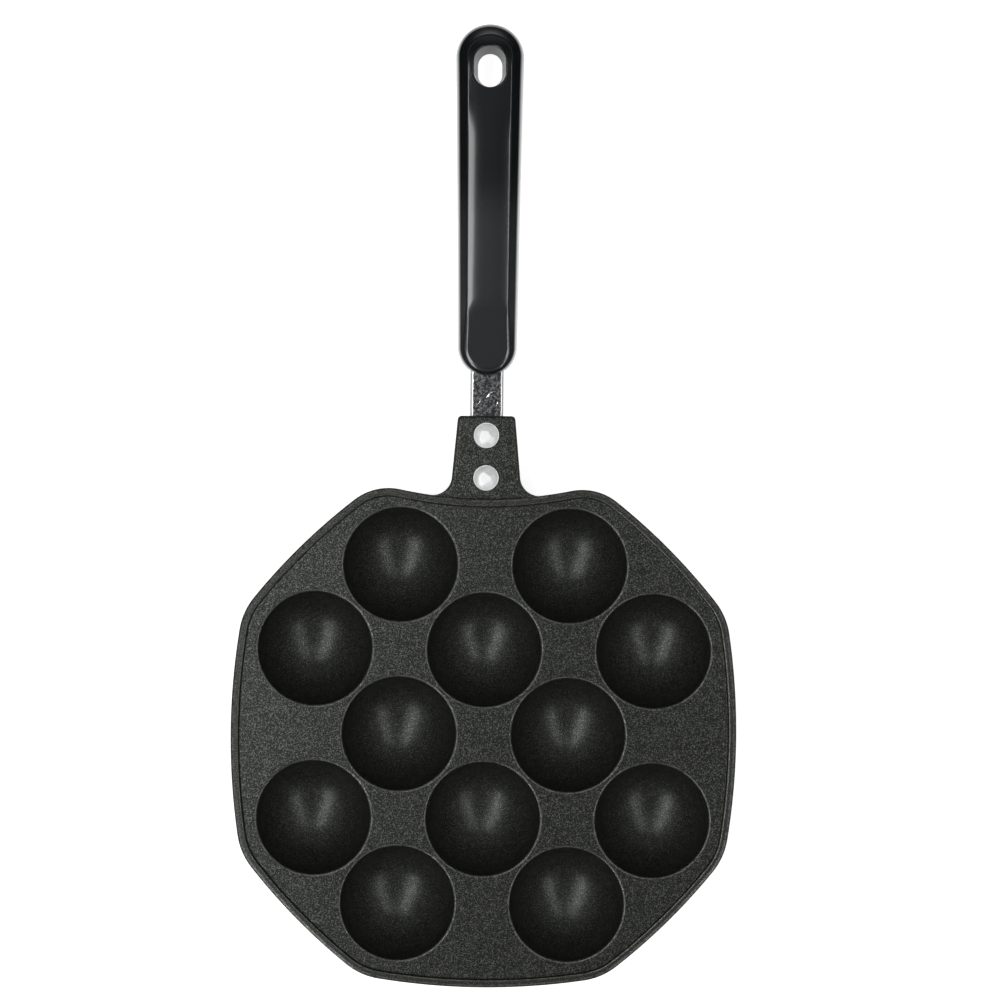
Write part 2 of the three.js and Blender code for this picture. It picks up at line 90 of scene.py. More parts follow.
# Rim section
LIP_WIDTH = 3.4
LIP_SLOPE = 0.5
LIP_ROUND = 0.9
LIP_INNER_ROUND = 0.25
LIP_INNER_BEVEL = (0.5, 0.14)
LIP_OUTER_BEVEL = (1.4, 0.38)
LIP_BEVEL_ROUND = 0.5
LIP_EDGE_ROUND = 0.6
LIP_FOOT_ROUND = 0.3
SKIRT_THICKNESS = 2.4
SKIRT_DRAFT = 0.9
SKIRT_ROOT_ROUND = 1.2
SKIRT_EDGE_ROUND = 0.5

# Cups
CUP_WALL = 2.6
CUP_EDGE_ROUND = 0.7
CUP_EDGE_SPREAD = 0.6
CUP_EDGE_STEPS = 10
FOOT_RADIUS = 7
BUMP_BLEND = 3
BALL_RADIUS = (CUP_RIM_RADIUS**2 + CUP_DEPTH**2) / (2 * CUP_DEPTH)
BALL_HEIGHT = PLATE_TOP + BALL_RADIUS - CUP_DEPTH
BUMP_RADIUS = BALL_RADIUS + CUP_WALL
BUMP_HEIGHT = math.sqrt(BUMP_RADIUS**2 - FOOT_RADIUS**2)

# Tang
TANG_LENGTH = 33
TANG_END = TANG_SIDE_REACH + TANG_LENGTH
TANG_END_WIDTH = 22.9
TANG_ROOT_WIDTH = 28.9
TANG_CORNER = 1.8
TANG_ROOT_FILLET = 7.6
TANG_EDGE_ROUND = 1.0
TANG_EDGE_SPREAD = 1.5
TANG_FOOT_ROUND = 0.35
SLIVER_SHARE = 0.3

# Strap, rivets and screw
STRAP_WIDTH = 14
STRAP_DEPTH = 8
STRAP_GAUGE = 1.2
STRAP_BEND = 1.6
STRAP_EDGE_ROUND = 0.2
STRAP_SETBACK = 2.8
STRAP_START = TANG_SIDE_REACH + STRAP_SETBACK
STRAP_RISE_GAP = 2.3
STRAP_RISE_START = TANG_END + STRAP_RISE_GAP
STRAP_RISE_RADIUS = 60
STRAP_PITCH = math.radians(3)
RIVET_FROM_ROOT = 8.3
RIVET_FROM_END = 7.9
RIVET_PLACES = {
    "rivet_near_pan": TANG_SIDE_REACH + RIVET_FROM_ROOT,
    "rivet_near_grip": TANG_END - RIVET_FROM_END,
}
RIVET_HEAD_RADIUS = 5
RIVET_HEAD_HEIGHT = 2.1
RIVET_SHANK_RADIUS = 2.5
RIVET_TAIL_RADIUS = 4.2
RIVET_TAIL_HEIGHT = 1.6
SCREW_FROM_STRAP_END = 11.5
SCREW_HEAD_RADIUS = 3.8
SCREW_HEAD_HEIGHT = 2.2
SCREW_SHANK_RADIUS = 2
SCREW_SEAT_WALL = 0.6
SCREW_SLOT = (1, 4.6, 1.1)
SCREW_ROUND = 0.8

# Grip, along the risen strap from the grip's nose
GRIP_START = 13.3
GRIP_LENGTH = 139.4
GRIP_NOSE_RADIUS = 11.75
GRIP_TAIL_RADIUS = 13.45
GRIP_FLARE_SHARE = 0.2
GRIP_PANEL_NOSE = 8.1
GRIP_PANEL_TAIL = 8.7
GRIP_TOP = 5.7
GRIP_CROWN = 0.5
GRIP_CROWN_POWER = 3.2
GRIP_FLAT_REACH = 28
GRIP_FLAT_FADE = 18
GRIP_FLAT_SHARE = 0.2
GRIP_CREASE_BLEND = 0.26
GRIP_WAIST = -2.2
GRIP_BOTTOM = -10.6
GRIP_BELLY = 1.8
GRIP_UNDER_ROUND = 7.5
GRIP_WALL_SHARES = (0.155, 0.61)
GRIP_WALL_BLEND_SHARE = 0.4
GRIP_FACET_START = 24.7
GRIP_FACET_SLOPE = 0.089
GRIP_RAMP_SLOPE = 0.12
GRIP_RAMP_BLEND = 0.35
GRIP_BEVEL_SLOPE = 0.27
GRIP_BEVEL_REACH = 0.7
GRIP_FACET_BLEND = 0.05
GRIP_FLANK_DROP_SHARE = 0.6
GRIP_NOSE_LIFT = 1.6
GRIP_TAIL_REACH = 29
GRIP_TAIL_DROP = 6.4
GRIP_TAIL_LIFT = 4.6
GRIP_TAIL_WAIST_DROP = 1.6
STRAP_IN_GRIP = 34.2
HANG_HOLE_FROM_TAIL = 17.5
HANG_HOLE_TOP = (12.6, 16.4)
HANG_HOLE_BOTTOM = (9.6, 12.8)
HANG_HOLE_ROUND = 0.45
STRAP_END = GRIP_START + STRAP_IN_GRIP
SCREW_PLACE = STRAP_END - SCREW_FROM_STRAP_END
SCREW_SEAT = -STRAP_DEPTH - CLEARANCE - SCREW_SEAT_WALL
HANG_HOLE_PLACE = GRIP_LENGTH - HANG_HOLE_FROM_TAIL
NOSE_CENTRE = GRIP_NOSE_RADIUS
TAIL_CENTRE = GRIP_LENGTH - GRIP_TAIL_RADIUS

# Marks on the strap: place, half length and half width, direction in degrees, and depth
STRAP_MARKS = (
    (0.75, 134.2, (1.5, 0.4), 50, 0.07),
    (2.3, 135.5, (1.1, 0.34), 18, 0.06),
    (4.3, 131.2, (1.8, 0.22), 72, 0.03),
    (-2.8, 131.5, (1.4, 0.25), 55, 0.03),
)

# How finely the pieces are divided
SIDE_STEPS = 20
CORNER_STEPS = 12
ROUND_STEPS = 5
CIRCLE_STEPS = 96
CUP_RINGS = 30
HALVINGS = 26
ROOT_STEPS = 80
BEND_STEPS = 8
UNDER_LATTICE = 3
UNDER_RINGS = 16
UNDER_BLEND_RINGS = 7
UNDER_EDGE_GAP = 0.4
TANG_SIDE = 4
WELD = 0.0005
SAME_PLACE = 1e-7
SHARP_ANGLE = math.radians(32)

# Rivet heads, and the facets that the hammer left on them: the way each faces and its slope, in
# degrees, and its height on the axis as a share of the head's
RIVET_RINGS = 26
RIVET_RIM = 0.35
FACET_BLEND = 0.12
RIVET_FACETS = {
    "rivet_near_pan": [
        *((205, 3, 0.82), (60, 24, 1.14), (0, 23, 1.24), (-75, 24, 1.27), (200, 22, 1.26)),
    ],
    "rivet_near_grip": [
        *((215, 3, 0.8), (92, 22, 1.14), (32, 24, 1.12), (-42, 24, 1.26), (-115, 23, 1.28)),
        (172, 24, 1.24),
    ],
}

# Where the rows of points on the grip's flank lie, as shares of the flank's width
GRIP_ROW_SHARES = (
    *(0, 0.03, 0.06, 0.1, 0.15, 0.2, 0.26, 0.33, 0.41, 0.5, 0.58, 0.65, 0.71, 0.76, 0.8, 0.84),
    *(0.88, 0.91, 0.94, 0.96, 0.98, 1, 1.02, 1.04, 1.07, 1.11, 1.17),
)
GRIP_ROW_GAP = 0.06
GRIP_SIDE_STEPS = 110
GRIP_ARC_STEPS = 28
GRIP_UNDER_STEPS = 12
GRIP_FINE_STEP = 0.5
GRIP_FINE_END = 45
GRIP_COARSE_STEP = 1.2
GRIP_SOLE_STEP = 2

# Surfaces: tones from dark to pale, and bands as (height, reach). The web's look, a painted shade,
# comes in between two shares of the way from the strap's edge to its middle, with a painted
# highlight on the bends outside it, and the flanges' look round a depth below the strap's top.
NOISE_SPAN = (0.3, 0.7)
COATING_TINT = (0.94, 1, 0.92, 1)
COATING_TONES = ((0.003, 0.0034, 0.0025), (0.005, 0.0055, 0.0043))
COATING_FLECK = (0.17, 0.175, 0.164)
# Pale tone painted along the lip's and the cups' edges as a painted highlight, and the heights of
# those lines
COATING_EDGE_HIGHLIGHT = (0.075, 0.077, 0.07)
EDGE_HIGHLIGHT_BANDS = ((LIP_TOP - 0.13, 0.12), (PLATE_TOP - 0.11, 0.1))
# Steel tones: painted shade on the web and a painted highlight on the bends, and the flanges' tone
STEEL_SHADE_AND_HIGHLIGHT = ((0.2, 0.205, 0.22), (0.88, 0.89, 0.9))
STEEL_DULL = (0.46, 0.47, 0.49)
WEB_EDGE = (0.155, 0.23)
FLANGE_MIDDLE = 5.5
FLANGE_REACH = 5
MOULDING_TINT = (0.85, 0.95, 1, 1)
MOULDING_TONES = ((0.001, 0.0018, 0.0024), (0.002, 0.0035, 0.0042))
HOLE_MATT_REACH = (7.2, 9.2)
HELD_MIDDLE = 172
HELD_REACH = 62

# Two metals: how metallic, tones, roughness, blots and scratches
BRIGHT_TONES = ((0.88, 0.89, 0.9), (0.96, 0.96, 0.96))
ZINC_TONES = ((0.5, 0.5, 0.48), (0.64, 0.64, 0.63))
ALUMINIUM = (0.4, BRIGHT_TONES, (0.42, 0.52), (1.2, 0.05), (0.3, 3, 0.25, 0.012))
ZINC = (1.0, ZINC_TONES, (0.28, 0.42), (0.8, 0.01), (0.25, 2, 0.2, 0.004))

# Studio, in metres
FLOOR_REACH = 4
FLOOR_GAP = 0.0002
FLOOR_GRAIN = 30
FLOOR_WHITE = (0.79, 0.82)
FLOOR_GLOW = 0.8
LAMP_LENGTH = 2.1
LAMP_AIM = (0, 0, 0.02)
LAMP_DISTANCE = 1.3
LAMP_LEAN = math.tan(math.radians(15))
LAMPS = (
    ("lamp_left", -24, -0.36, 0.3, 5.6),
    ("lamp_right", 29, 0.36, 0.15, 5.8),
)
SKY_LEVELS = ((0, 0.3), (0.08, 0.03), (0.34, 0.03), (0.48, 0.35), (0.64, 0.3), (0.8, 0.07), (1, 0.12))
SKY_HORIZON = 0.04
CAMERA_PLACE = (0.00583, 0.00198, 1.0252)
CAMERA_ANGLE = math.radians(22.37)
CAMERA_TURN = math.radians(0.57)


def unit(angle):
    return np.array([math.cos(angle), math.sin(angle)])


def quarter_turn(steps=ROUND_STEPS):
    """Points on a quarter of the unit circle, from (1, 0) to (0, 1)."""
    return [unit(math.pi / 2 * i / steps) for i in range(steps + 1)]


def eased(share):
    return share * share * (3 - 2 * share)


def smooth_min(a, b, blend):
    """The lower of two heights, with the corner where they cross rounded over a blend."""
    near = np.maximum(blend - np.abs(a - b), 0) / blend
    return np.minimum(a, b) - near * near * blend / 4


def arc(centre, radius, start, end, steps):
    """Points on an arc and the way out of the material there, without the arc's last point.
    It takes the short way round. A hollow arc has a negative radius and its centre outside."""
    turn = (end - start + math.pi) % (2 * math.pi) - math.pi
    angles = start + turn * np.arange(steps) / steps
    outward = np.stack([np.cos(angles), np.sin(angles)], 1)
    return np.asarray(centre) + radius * outward, outward


def straight(start, end, steps):
    """Points on a straight stretch with the material on its left, without its last point."""
    start, end = np.asarray(start, float), np.asarray(end, float)
    along = (end - start) / np.linalg.norm(end - start)
    shares = np.arange(steps)[:, None] / steps
    outward = np.tile([along[1], -along[0]], (steps, 1))
    return start + (end - start) * shares, outward


def joined(*stretches):
    points, outward = zip(*stretches)
    return np.concatenate(points), np.concatenate(outward)


def rounded(*corners):
    """A line through (x, y, radius) corners, with an arc of that radius at each inner corner."""
    line = [corners[0][:2]]
    for before, (x, y, radius), after in zip(corners, corners[1:], corners[2:]):
        here = np.array([x, y])
        if not radius:
            line.append((x, y))
            continue
        back = np.array(before[:2]) - here
        ahead = np.array(after[:2]) - here
        back, ahead = back / np.linalg.norm(back), ahead / np.linalg.norm(ahead)
        half = math.acos(np.clip(back @ ahead, -1, 1)) / 2
        middle = here + (back + ahead) / np.linalg.norm(back + ahead) * radius / math.sin(half)
        first = here + back * radius / math.tan(half) - middle
        last = here + ahead * radius / math.tan(half) - middle
        turn = math.atan2(first[0] * last[1] - first[1] * last[0], first @ last)
        start = math.atan2(first[1], first[0])
        for i in range(ROUND_STEPS + 1):
            line.append(tuple(middle + radius * unit(start + turn * i / ROUND_STEPS)))
    line.append(corners[-1][:2])
    return line


def enclosed(points, starts, ends):
    """Which points lie inside the closed loops whose edges run between these ends."""
    inside = np.zeros(len(points), bool)
    for (x1, y1), (x2, y2) in zip(starts, ends):
        if y1 != y2:
            crosses = (y1 > points[:, 1]) != (y2 > points[:, 1])
            inside ^= crosses & (points[:, 0] < x1 + (points[:, 1] - y1) * (x2 - x1) / (y2 - y1))
    return inside


class Shell:
    """The points and faces of one piece, which is made row by row."""

    def __init__(self):
        self.points = []
        self.faces = []

    def row(self, plan, height):
        """Adds points above a plan at one height, or at a height each, and gives their numbers."""
        heights = np.broadcast_to(height, len(plan))
        return self.ring([(x, y, z) for (x, y), z in zip(plan, heights)])

    def ring(self, points):
        first = len(self.points)
        self.points += [tuple(p) for p in points]
        return list(range(first, len(self.points)))

    def strip(self, a, b, closed=True):
        """Faces between two rows, where a corner that both rows share makes a triangle."""
        count = len(a)
        for i in range(count if closed else count - 1):
            j = (i + 1) % count
            face = tuple(dict.fromkeys((a[i], a[j], b[j], b[i])))
            if len(face) > 2:
                self.faces.append(face)

    def strips(self, rows, closed=True):
        for a, b in zip(rows, rows[1:]):
            self.strip(a, b, closed)

    def tube(self, rows):
        """Faces between rows, and over the first and the last."""
        self.strips(rows)
        self.faces += [tuple(rows[0]), tuple(rows[-1])]

    def fan(self, row, hub):
        for i, corner in enumerate(row):
            self.faces.append((corner, row[(i + 1) % len(row)], hub))

    def fill(self, loops, inner=(), height=None):
        """Triangles between closed loops of points that are there already, over inner points
        whose heights a function of their places gives."""
        numbers = [n for loop in loops for n in loop]
        places = [Vector(self.points[n][:2]) for n in numbers]
        edges = []
        for loop in loops:
            first = len(edges)
            count = len(loop)
            edges += [(first + i, first + (i + 1) % count) for i in range(count)]
        plan = places + [Vector(p) for p in inner]
        found, _, triangles, origins, _, _ = delaunay_2d_cdt(plan, edges, [], 0, SAME_PLACE)
        found = np.array([tuple(p) for p in found])
        ends = np.array([[tuple(places[a]), tuple(places[b])] for a, b in edges])
        triangles = np.array([tuple(t) for t in triangles])
        kept = triangles[enclosed(found[triangles].mean(1), ends[:, 0], ends[:, 1])]
        number = {}
        for place, sources in enumerate(origins):
            given = [s for s in sources if s < len(numbers)]
            if given:
                number[place] = numbers[given[0]]
        used = sorted({int(v) for v in kept.ravel()} - set(number))
        if used:
            new = self.row(found[used], height(found[used]))
            number.update(zip(used, new))
        self.faces += [tuple(number[int(v)] for v in t) for t in kept]


# The middle of the cups lies this far along Y from the frame's origin, in millimetres
CENTRE_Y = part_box("pan_casting")[0].y / MM + SIDE_REACH


def to_pan(points):
    """Moves (x, along, up) points on the risen strap to the pan's own axes."""
    along, up = points[:, 1], points[:, 2]
    y = STRAP_RISE_START + along * math.cos(STRAP_PITCH) - up * math.sin(STRAP_PITCH)
    z = STRAP_TOP + along * math.sin(STRAP_PITCH) + up * math.cos(STRAP_PITCH)
    return np.stack([points[:, 0], y, z], 1)


def on_strap(along):
    """The (y, z) place on the risen strap's top that lies this far along it."""
    return to_pan(np.array([[0, along, 0]]))[0, 1:]


def make_piece(name, shell, material, node, cutters=()):
    """Turns a shell into a Blender object that stands for a CAD node."""
    piece = make_object(name, shell)
    for cutter in cutters:
        cut_away(piece, make_object(name + "_cutter", cutter))
    mesh = piece.data
    mesh.shade_smooth()
    mesh.set_sharp_from_angle(angle=SHARP_ANGLE)
    even = piece.modifiers.new("even_normals", "WEIGHTED_NORMAL")
    even.keep_sharp = True
    mesh.materials.append(material)
    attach(piece, "root")
    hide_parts(node)
    return piece


def add_object(name, data):
    made = bpy.data.objects.new(name, data)
    bpy.context.scene.collection.objects.link(made)
    return made


def make_object(name, shell):
    points = np.array(shell.points, float)
    points[:, 1] += CENTRE_Y
    mesh = bpy.data.meshes.new(name)
    mesh.from_pydata(points * MM, [], shell.faces)
    body = bmesh.new()
    body.from_mesh(mesh)
    bmesh.ops.remove_doubles(body, verts=body.verts, dist=WELD * MM)
    bmesh.ops.recalc_face_normals(body, faces=body.faces)
    body.to_mesh(mesh)
    body.free()
    return add_object(name, mesh)


def cut_away(piece, cutter):
    """Cuts one closed mesh out of another and keeps the result as the piece's own mesh."""
    cut = piece.modifiers.new("cut", "BOOLEAN")
    cut.operation = "DIFFERENCE"
    cut.solver = "EXACT"
    cut.object = cutter
    graph = bpy.context.evaluated_depsgraph_get()
    mesh = bpy.data.meshes.new_from_object(piece.evaluated_get(graph))
    piece.modifiers.clear()
    old = piece.data
    piece.data = mesh
    bpy.data.meshes.remove(old)
    bpy.data.objects.remove(cutter)


def circle(x, y, radius, steps=CIRCLE_STEPS):
    angles = 2 * np.pi * np.arange(steps) / steps
    return np.stack([x + radius * np.cos(angles), y + radius * np.sin(angles)], 1)


def crossing(centre_a, radius_a, centre_b, radius_b, towards):
    """Where two circles cross, on the side that a direction points to."""
    between = centre_b - centre_a
    distance = np.linalg.norm(between)
    along = (radius_a**2 - radius_b**2 + distance**2) / (2 * distance)
    across = np.array([-between[1], between[0]]) / distance
    away = math.sqrt(radius_a**2 - along**2) * np.sign(across @ towards)
    return centre_a + between / distance * along + across * away


def heading(vector):
    return math.atan2(vector[1], vector[0])


def plate_edge():
    """The eight sides, each with the corner after it, as (centre, radius, start, end, steps)."""
    sides = []
    for i in range(8):
        direction = unit(i * math.pi / 4 - math.pi / 2)
        reach, radius = (DIAGONAL_REACH, DIAGONAL_BOW) if i % 2 else (SIDE_REACH, SIDE_BOW)
        if i == TANG_SIDE:
            reach, radius = TANG_SIDE_REACH, -TANG_SIDE_HOLLOW
        sides.append((direction * (reach - radius), radius, direction))
    corners = []
    for i, (centre, radius, direction) in enumerate(sides):
        beyond = (i + 1) % 8
        far_centre, far_radius, far_direction = sides[beyond]
        turn = TANG_CORNER_RADIUS if TANG_SIDE in (i, beyond) else CORNER_RADIUS
        reaches = abs(radius - turn), abs(far_radius - turn)
        towards = direction + far_direction
        corners.append((crossing(centre, reaches[0], far_centre, reaches[1], towards), turn))

    def touch(side, corner):
        return heading((corner[0] - side[0]) / (side[1] - corner[1]))

    stretches = []
    for i, side in enumerate(sides):
        start, end = touch(side, corners[i - 1]), touch(side, corners[i])
        onward = touch(sides[(i + 1) % 8], corners[i])
        stretches.append((side[0], side[1], start, end, SIDE_STEPS))
        stretches.append((corners[i][0], corners[i][1], end, onward, CORNER_STEPS))
    return stretches


def outlines():
    """The plate's free edge from the tang's left root round to its right root, the plate's edge
    under the tang, and the tang's own edge. The last two leave out both roots, and their
    distances from each other come with them."""
    stretches = plate_edge()
    hollow, radius, start, end, steps = stretches[2 * TANG_SIDE]
    foot = np.array([TANG_ROOT_WIDTH / 2, TANG_SIDE_REACH])
    slope = math.atan2((TANG_ROOT_WIDTH - TANG_END_WIDTH) / 2, TANG_LENGTH)
    along = np.array([-math.sin(slope), math.cos(slope)])
    # The root fillet touches the tang's side and the plate's hollow edge
    track = foot + TANG_ROOT_FILLET * unit(slope) - hollow
    reach = TANG_SIDE_HOLLOW - TANG_ROOT_FILLET
    forward = -track @ along
    fillet = hollow + track + along * (forward - math.sqrt(forward**2 - track @ track + reach**2))
    right = heading(hollow - fillet)
    left = math.pi - right
    rounds = stretches[2 * TANG_SIDE + 1 :] + stretches[: 2 * TANG_SIDE]
    free = joined(
        arc(hollow, radius, left, end, steps // 2),
        *(arc(*stretch) for stretch in rounds),
        arc(hollow, radius, start, right, steps // 2),
        arc(hollow, radius, right, left, 1),
    )
    root = arc(hollow, radius, right, left, ROOT_STEPS)
    corner_reach = TANG_END_WIDTH / 2 - TANG_CORNER * math.tan((math.pi / 2 - slope) / 2)
    corner = np.array([corner_reach, TANG_END - TANG_CORNER])
    side_start = fillet - TANG_ROOT_FILLET * unit(slope)
    side_end = corner + TANG_CORNER * unit(slope)
    tip = corner + TANG_CORNER * unit(math.pi / 2)
    flip = np.array([-1, 1])
    tongue = joined(
        arc(fillet, -TANG_ROOT_FILLET, right, slope, 2 * CORNER_STEPS),
        straight(side_start, side_end, SIDE_STEPS),
        arc(corner, TANG_CORNER, slope, math.pi / 2, CORNER_STEPS),
        straight(tip, tip * flip, SIDE_STEPS),
        arc(corner * flip, TANG_CORNER, math.pi / 2, math.pi - slope, CORNER_STEPS),
        straight(side_end * flip, side_start * flip, SIDE_STEPS),
        arc(fillet * flip, -TANG_ROOT_FILLET, math.pi - slope, left, 2 * CORNER_STEPS),
    )
    root = tuple(part[1:] for part in root)
    tongue = tuple(part[1:] for part in tongue)
    # How far apart the last two are, which run into each other at the roots
    from_fillets = [np.linalg.norm(root[0] - place, axis=1) for place in (fillet, fillet * flip)]
    root_gap = np.minimum(*from_fillets) - TANG_ROOT_FILLET
    tongue_gap = TANG_SIDE_HOLLOW - np.linalg.norm(tongue[0] - hollow, axis=1)
    return free, root, tongue, root_gap, tongue_gap


def inset(outline, distance):
    points, outward = outline
    return points - outward * np.reshape(distance, (-1, 1))


def nearest(points, others):
    """The distance from each point to the nearest of the others."""
    return np.sqrt(((points[:, None] - others[None]) ** 2).sum(2)).min(1)


def cup_places():
    reach = range(-LATTICE_REACH, LATTICE_REACH + 1)
    return [(c * CUP_SPACING, r * CUP_SPACING) for r in reach for c in reach if (r + c) % 2]


def under_height(places):
    """The casting's underside: the plate with the bumps of the cups, joined by fillets and cut
    flat at the feet. Its height is found by halving, where the distance to the surface is zero."""
    low = np.full(len(places), -FOOT_THICKNESS, float)
    high = np.full(len(places), PLATE_UNDERSIDE, float)
    away = [np.hypot(places[:, 0] - x, places[:, 1] - y) for x, y in cup_places()]
    for _ in range(HALVINGS):
        middle = (low + high) / 2
        gap = PLATE_UNDERSIDE - middle
        for reach in away:
            bump = np.hypot(reach, middle - BUMP_HEIGHT) - BUMP_RADIUS
            gap = smooth_min(gap, bump, BUMP_BLEND)
        low, high = np.where(gap > 0, middle, low), np.where(gap > 0, high, middle)
    return np.maximum(high, 0)


def under_places():
    """Points on the underside: rings round each cup as far as its neighbours, close together
    where the surface is steep, and a coarse lattice between them."""
    cups = np.array(cup_places())
    found = []
    spread = BUMP_RADIUS + BUMP_BLEND
    foot = math.asin(FOOT_RADIUS / BUMP_RADIUS)
    steep = math.acos((BUMP_HEIGHT - PLATE_UNDERSIDE + BUMP_BLEND) / BUMP_RADIUS)
    angles = foot + (steep - foot) * np.arange(UNDER_RINGS + 1) / UNDER_RINGS
    radii = list(BUMP_RADIUS * np.sin(angles))
    radii += list(np.linspace(radii[-1], spread, UNDER_BLEND_RINGS + 1)[1:])
    for x, y in cups:
        found.append(np.array([[x, y]]))
        for radius in radii:
            found.append(circle(x, y, radius))
    rings = np.concatenate(found)
    owner = np.repeat(np.arange(len(cups)), len(rings) // len(cups))
    gaps = np.sqrt(((rings[:, None] - cups[None]) ** 2).sum(2))
    rings = rings[gaps[np.arange(len(rings)), owner] <= gaps.min(1) + WELD]
    lattice = np.arange(-SIDE_REACH, SIDE_REACH, UNDER_LATTICE)
    grid = np.stack(np.meshgrid(lattice, lattice), -1).reshape(-1, 2)
    grid = grid[nearest(grid, cups) > spread]
    return np.concatenate([rings, grid])


def cup_profile():
    """A cup's (radius, height) line from the flat round its mouth down to near its floor."""
    drop = BALL_HEIGHT - PLATE_TOP + CUP_EDGE_ROUND
    lean = math.asin(drop / (BALL_RADIUS + CUP_EDGE_ROUND))
    reach = (BALL_RADIUS + CUP_EDGE_ROUND) * math.cos(lean)
    profile = []
    for i in range(CUP_EDGE_STEPS + 1):
        angle = math.pi / 2 + (math.pi / 2 - lean) * i / CUP_EDGE_STEPS
        x, z = CUP_EDGE_ROUND * unit(angle)
        spread = CUP_EDGE_SPREAD * (1 + x / (CUP_EDGE_ROUND * math.cos(lean)))
        profile.append((reach + x + spread, PLATE_TOP - CUP_EDGE_ROUND + z))
    for i in range(1, CUP_RINGS):
        x, z = BALL_RADIUS * unit((math.pi / 2 - lean) * i / CUP_RINGS + lean)
        profile.append((x, BALL_HEIGHT - z))
    return profile


def wall_inset(height):
    """How far the draft has drawn the outer wall in at a height."""
    top = LIP_TOP - LIP_ROUND
    return SKIRT_DRAFT * (top - height) / (top - SKIRT_BOTTOM)


def pan_shell():
    """The casting as one closed surface, from the lip's inner foot outward, down and under."""
    shell = Shell()
    free, root, tongue, root_gap, tongue_gap = outlines()
    whole = joined(free, root)
    count = len(free[0])
    crest = LIP_WIDTH - LIP_SLOPE
    inner_bevel, inner_drop = LIP_INNER_BEVEL
    outer_bevel, outer_drop = LIP_OUTER_BEVEL
    lip = rounded(
        (2 * LIP_WIDTH, PLATE_TOP, 0),
        (LIP_WIDTH, PLATE_TOP, LIP_FOOT_ROUND),
        (crest, LIP_TOP - inner_drop, LIP_INNER_ROUND),
        (crest - inner_bevel, LIP_TOP, LIP_BEVEL_ROUND),
        (outer_bevel, LIP_TOP, LIP_BEVEL_ROUND),
        (0, LIP_TOP - outer_drop, LIP_EDGE_ROUND),
        (0, LIP_TOP - LIP_ROUND, 0),
    )[1:-1]
    rows = [shell.row(inset(whole, distance), height) for distance, height in lip]
    shell.strips(rows)
    foot, edge = rows[0], rows[-1]

    # The free wall, and the tang's roots, which three stretches share
    upper = shell.row(inset(free, wall_inset(TANG_TOP)), TANG_TOP)
    lower = shell.row(inset(free, wall_inset(TANG_UNDERSIDE)), TANG_UNDERSIDE)
    shell.strips([edge[:count], upper, lower], closed=False)
    right, left = -1, 0

    def across(row, ends):
        """A row of the tang or of the plate's edge under it, between both roots."""
        return [ends[right], *row, ends[left]]

    # The tang's top: a fillet at the lip's foot, and a rounded edge that thins out at the roots
    foot_round = np.minimum(TANG_FOOT_ROUND, root_gap * SLIVER_SHARE)
    edge_round = np.minimum(TANG_EDGE_ROUND, tongue_gap * SLIVER_SHARE)

    def root_fillet(level, side, ends):
        made = []
        for x, z in quarter_turn():
            reach = wall_inset(level) - foot_round * (1 - x)
            row = shell.row(inset(root, reach), level + side * foot_round * (1 - z))
            made.append(across(row, ends))
        return made

    def tongue_round(level, side, ends, spread=1):
        made = []
        for x, z in quarter_turn():
            reach = wall_inset(level) + spread * edge_round * (1 - z)
            row = shell.row(inset(tongue, reach), level - side * edge_round * (1 - x))
            made.append(across(row, ends))
        return made

    above = root_fillet(TANG_TOP, 1, upper)
    shell.strips([[edge[count - 1], *edge[count:], edge[0]], *above], closed=False)
    brow = tongue_round(TANG_TOP, 1, upper, TANG_EDGE_SPREAD)
    shell.strips(brow, closed=False)
    jaw = tongue_round(TANG_UNDERSIDE, -1, lower)
    shell.strips(jaw, closed=False)
    shell.strip(brow[-1], jaw[-1], closed=False)
    below = root_fillet(TANG_UNDERSIDE, -1, lower)
    shell.strips(below, closed=False)
    holes = []
    for y in RIVET_PLACES.values():
        plan = circle(0, y, RIVET_SHANK_RADIUS + CLEARANCE)
        mouths = shell.row(plan, TANG_TOP), shell.row(plan, TANG_UNDERSIDE)
        shell.strip(*mouths)
        holes.append(mouths)
    for tier, (inner, outer) in enumerate([(above[-1], brow[0]), (below[-1], jaw[0])]):
        loop = outer + inner[-2:0:-1]
        shell.fill([loop, *(mouths[tier] for mouths in holes)])

    # The skirt, round its bottom and up its inside to the plate's underside
    bottom = wall_inset(SKIRT_BOTTOM)
    inner_top = SKIRT_THICKNESS + SKIRT_DRAFT
    skirt = rounded(
        (wall_inset(TANG_UNDERSIDE - TANG_FOOT_ROUND), TANG_UNDERSIDE - TANG_FOOT_ROUND, 0),
        (bottom, SKIRT_BOTTOM, SKIRT_EDGE_ROUND),
        (SKIRT_THICKNESS, SKIRT_BOTTOM, SKIRT_EDGE_ROUND),
        (inner_top, PLATE_UNDERSIDE, SKIRT_ROOT_ROUND),
        (inner_top + 2 * SKIRT_ROOT_ROUND, PLATE_UNDERSIDE, 0),
        (inner_top + 3 * SKIRT_ROOT_ROUND, PLATE_UNDERSIDE, 0),
    )[1:]
    drops = [PLATE_UNDERSIDE - height for _, height in skirt]
    rows = []
    for (distance, _), drop in zip(skirt, drops):
        plan = inset(whole, distance)
        rows.append(shell.row(plan, under_height(plan) - drop))
    shell.strips([lower + below[0][1:-1], *rows])
    inner = under_places()
    border = inset(whole, skirt[-1][0] + UNDER_EDGE_GAP)
    inner = inner[enclosed(inner, border, np.roll(border, -1, 0))]
    shell.fill([rows[-1]], inner, under_height)

    # The plate's top, and the cups
    profile = cup_profile()
    mouths = []
    for x, y in cup_places():
        rings = [shell.row(circle(x, y, radius), height) for radius, height in profile]
        shell.strips(rings)
        shell.fan(rings[-1], *shell.ring([(x, y, BALL_HEIGHT - BALL_RADIUS)]))
        mouths.append(rings[0])
    shell.fill([foot, *mouths])
    return shell


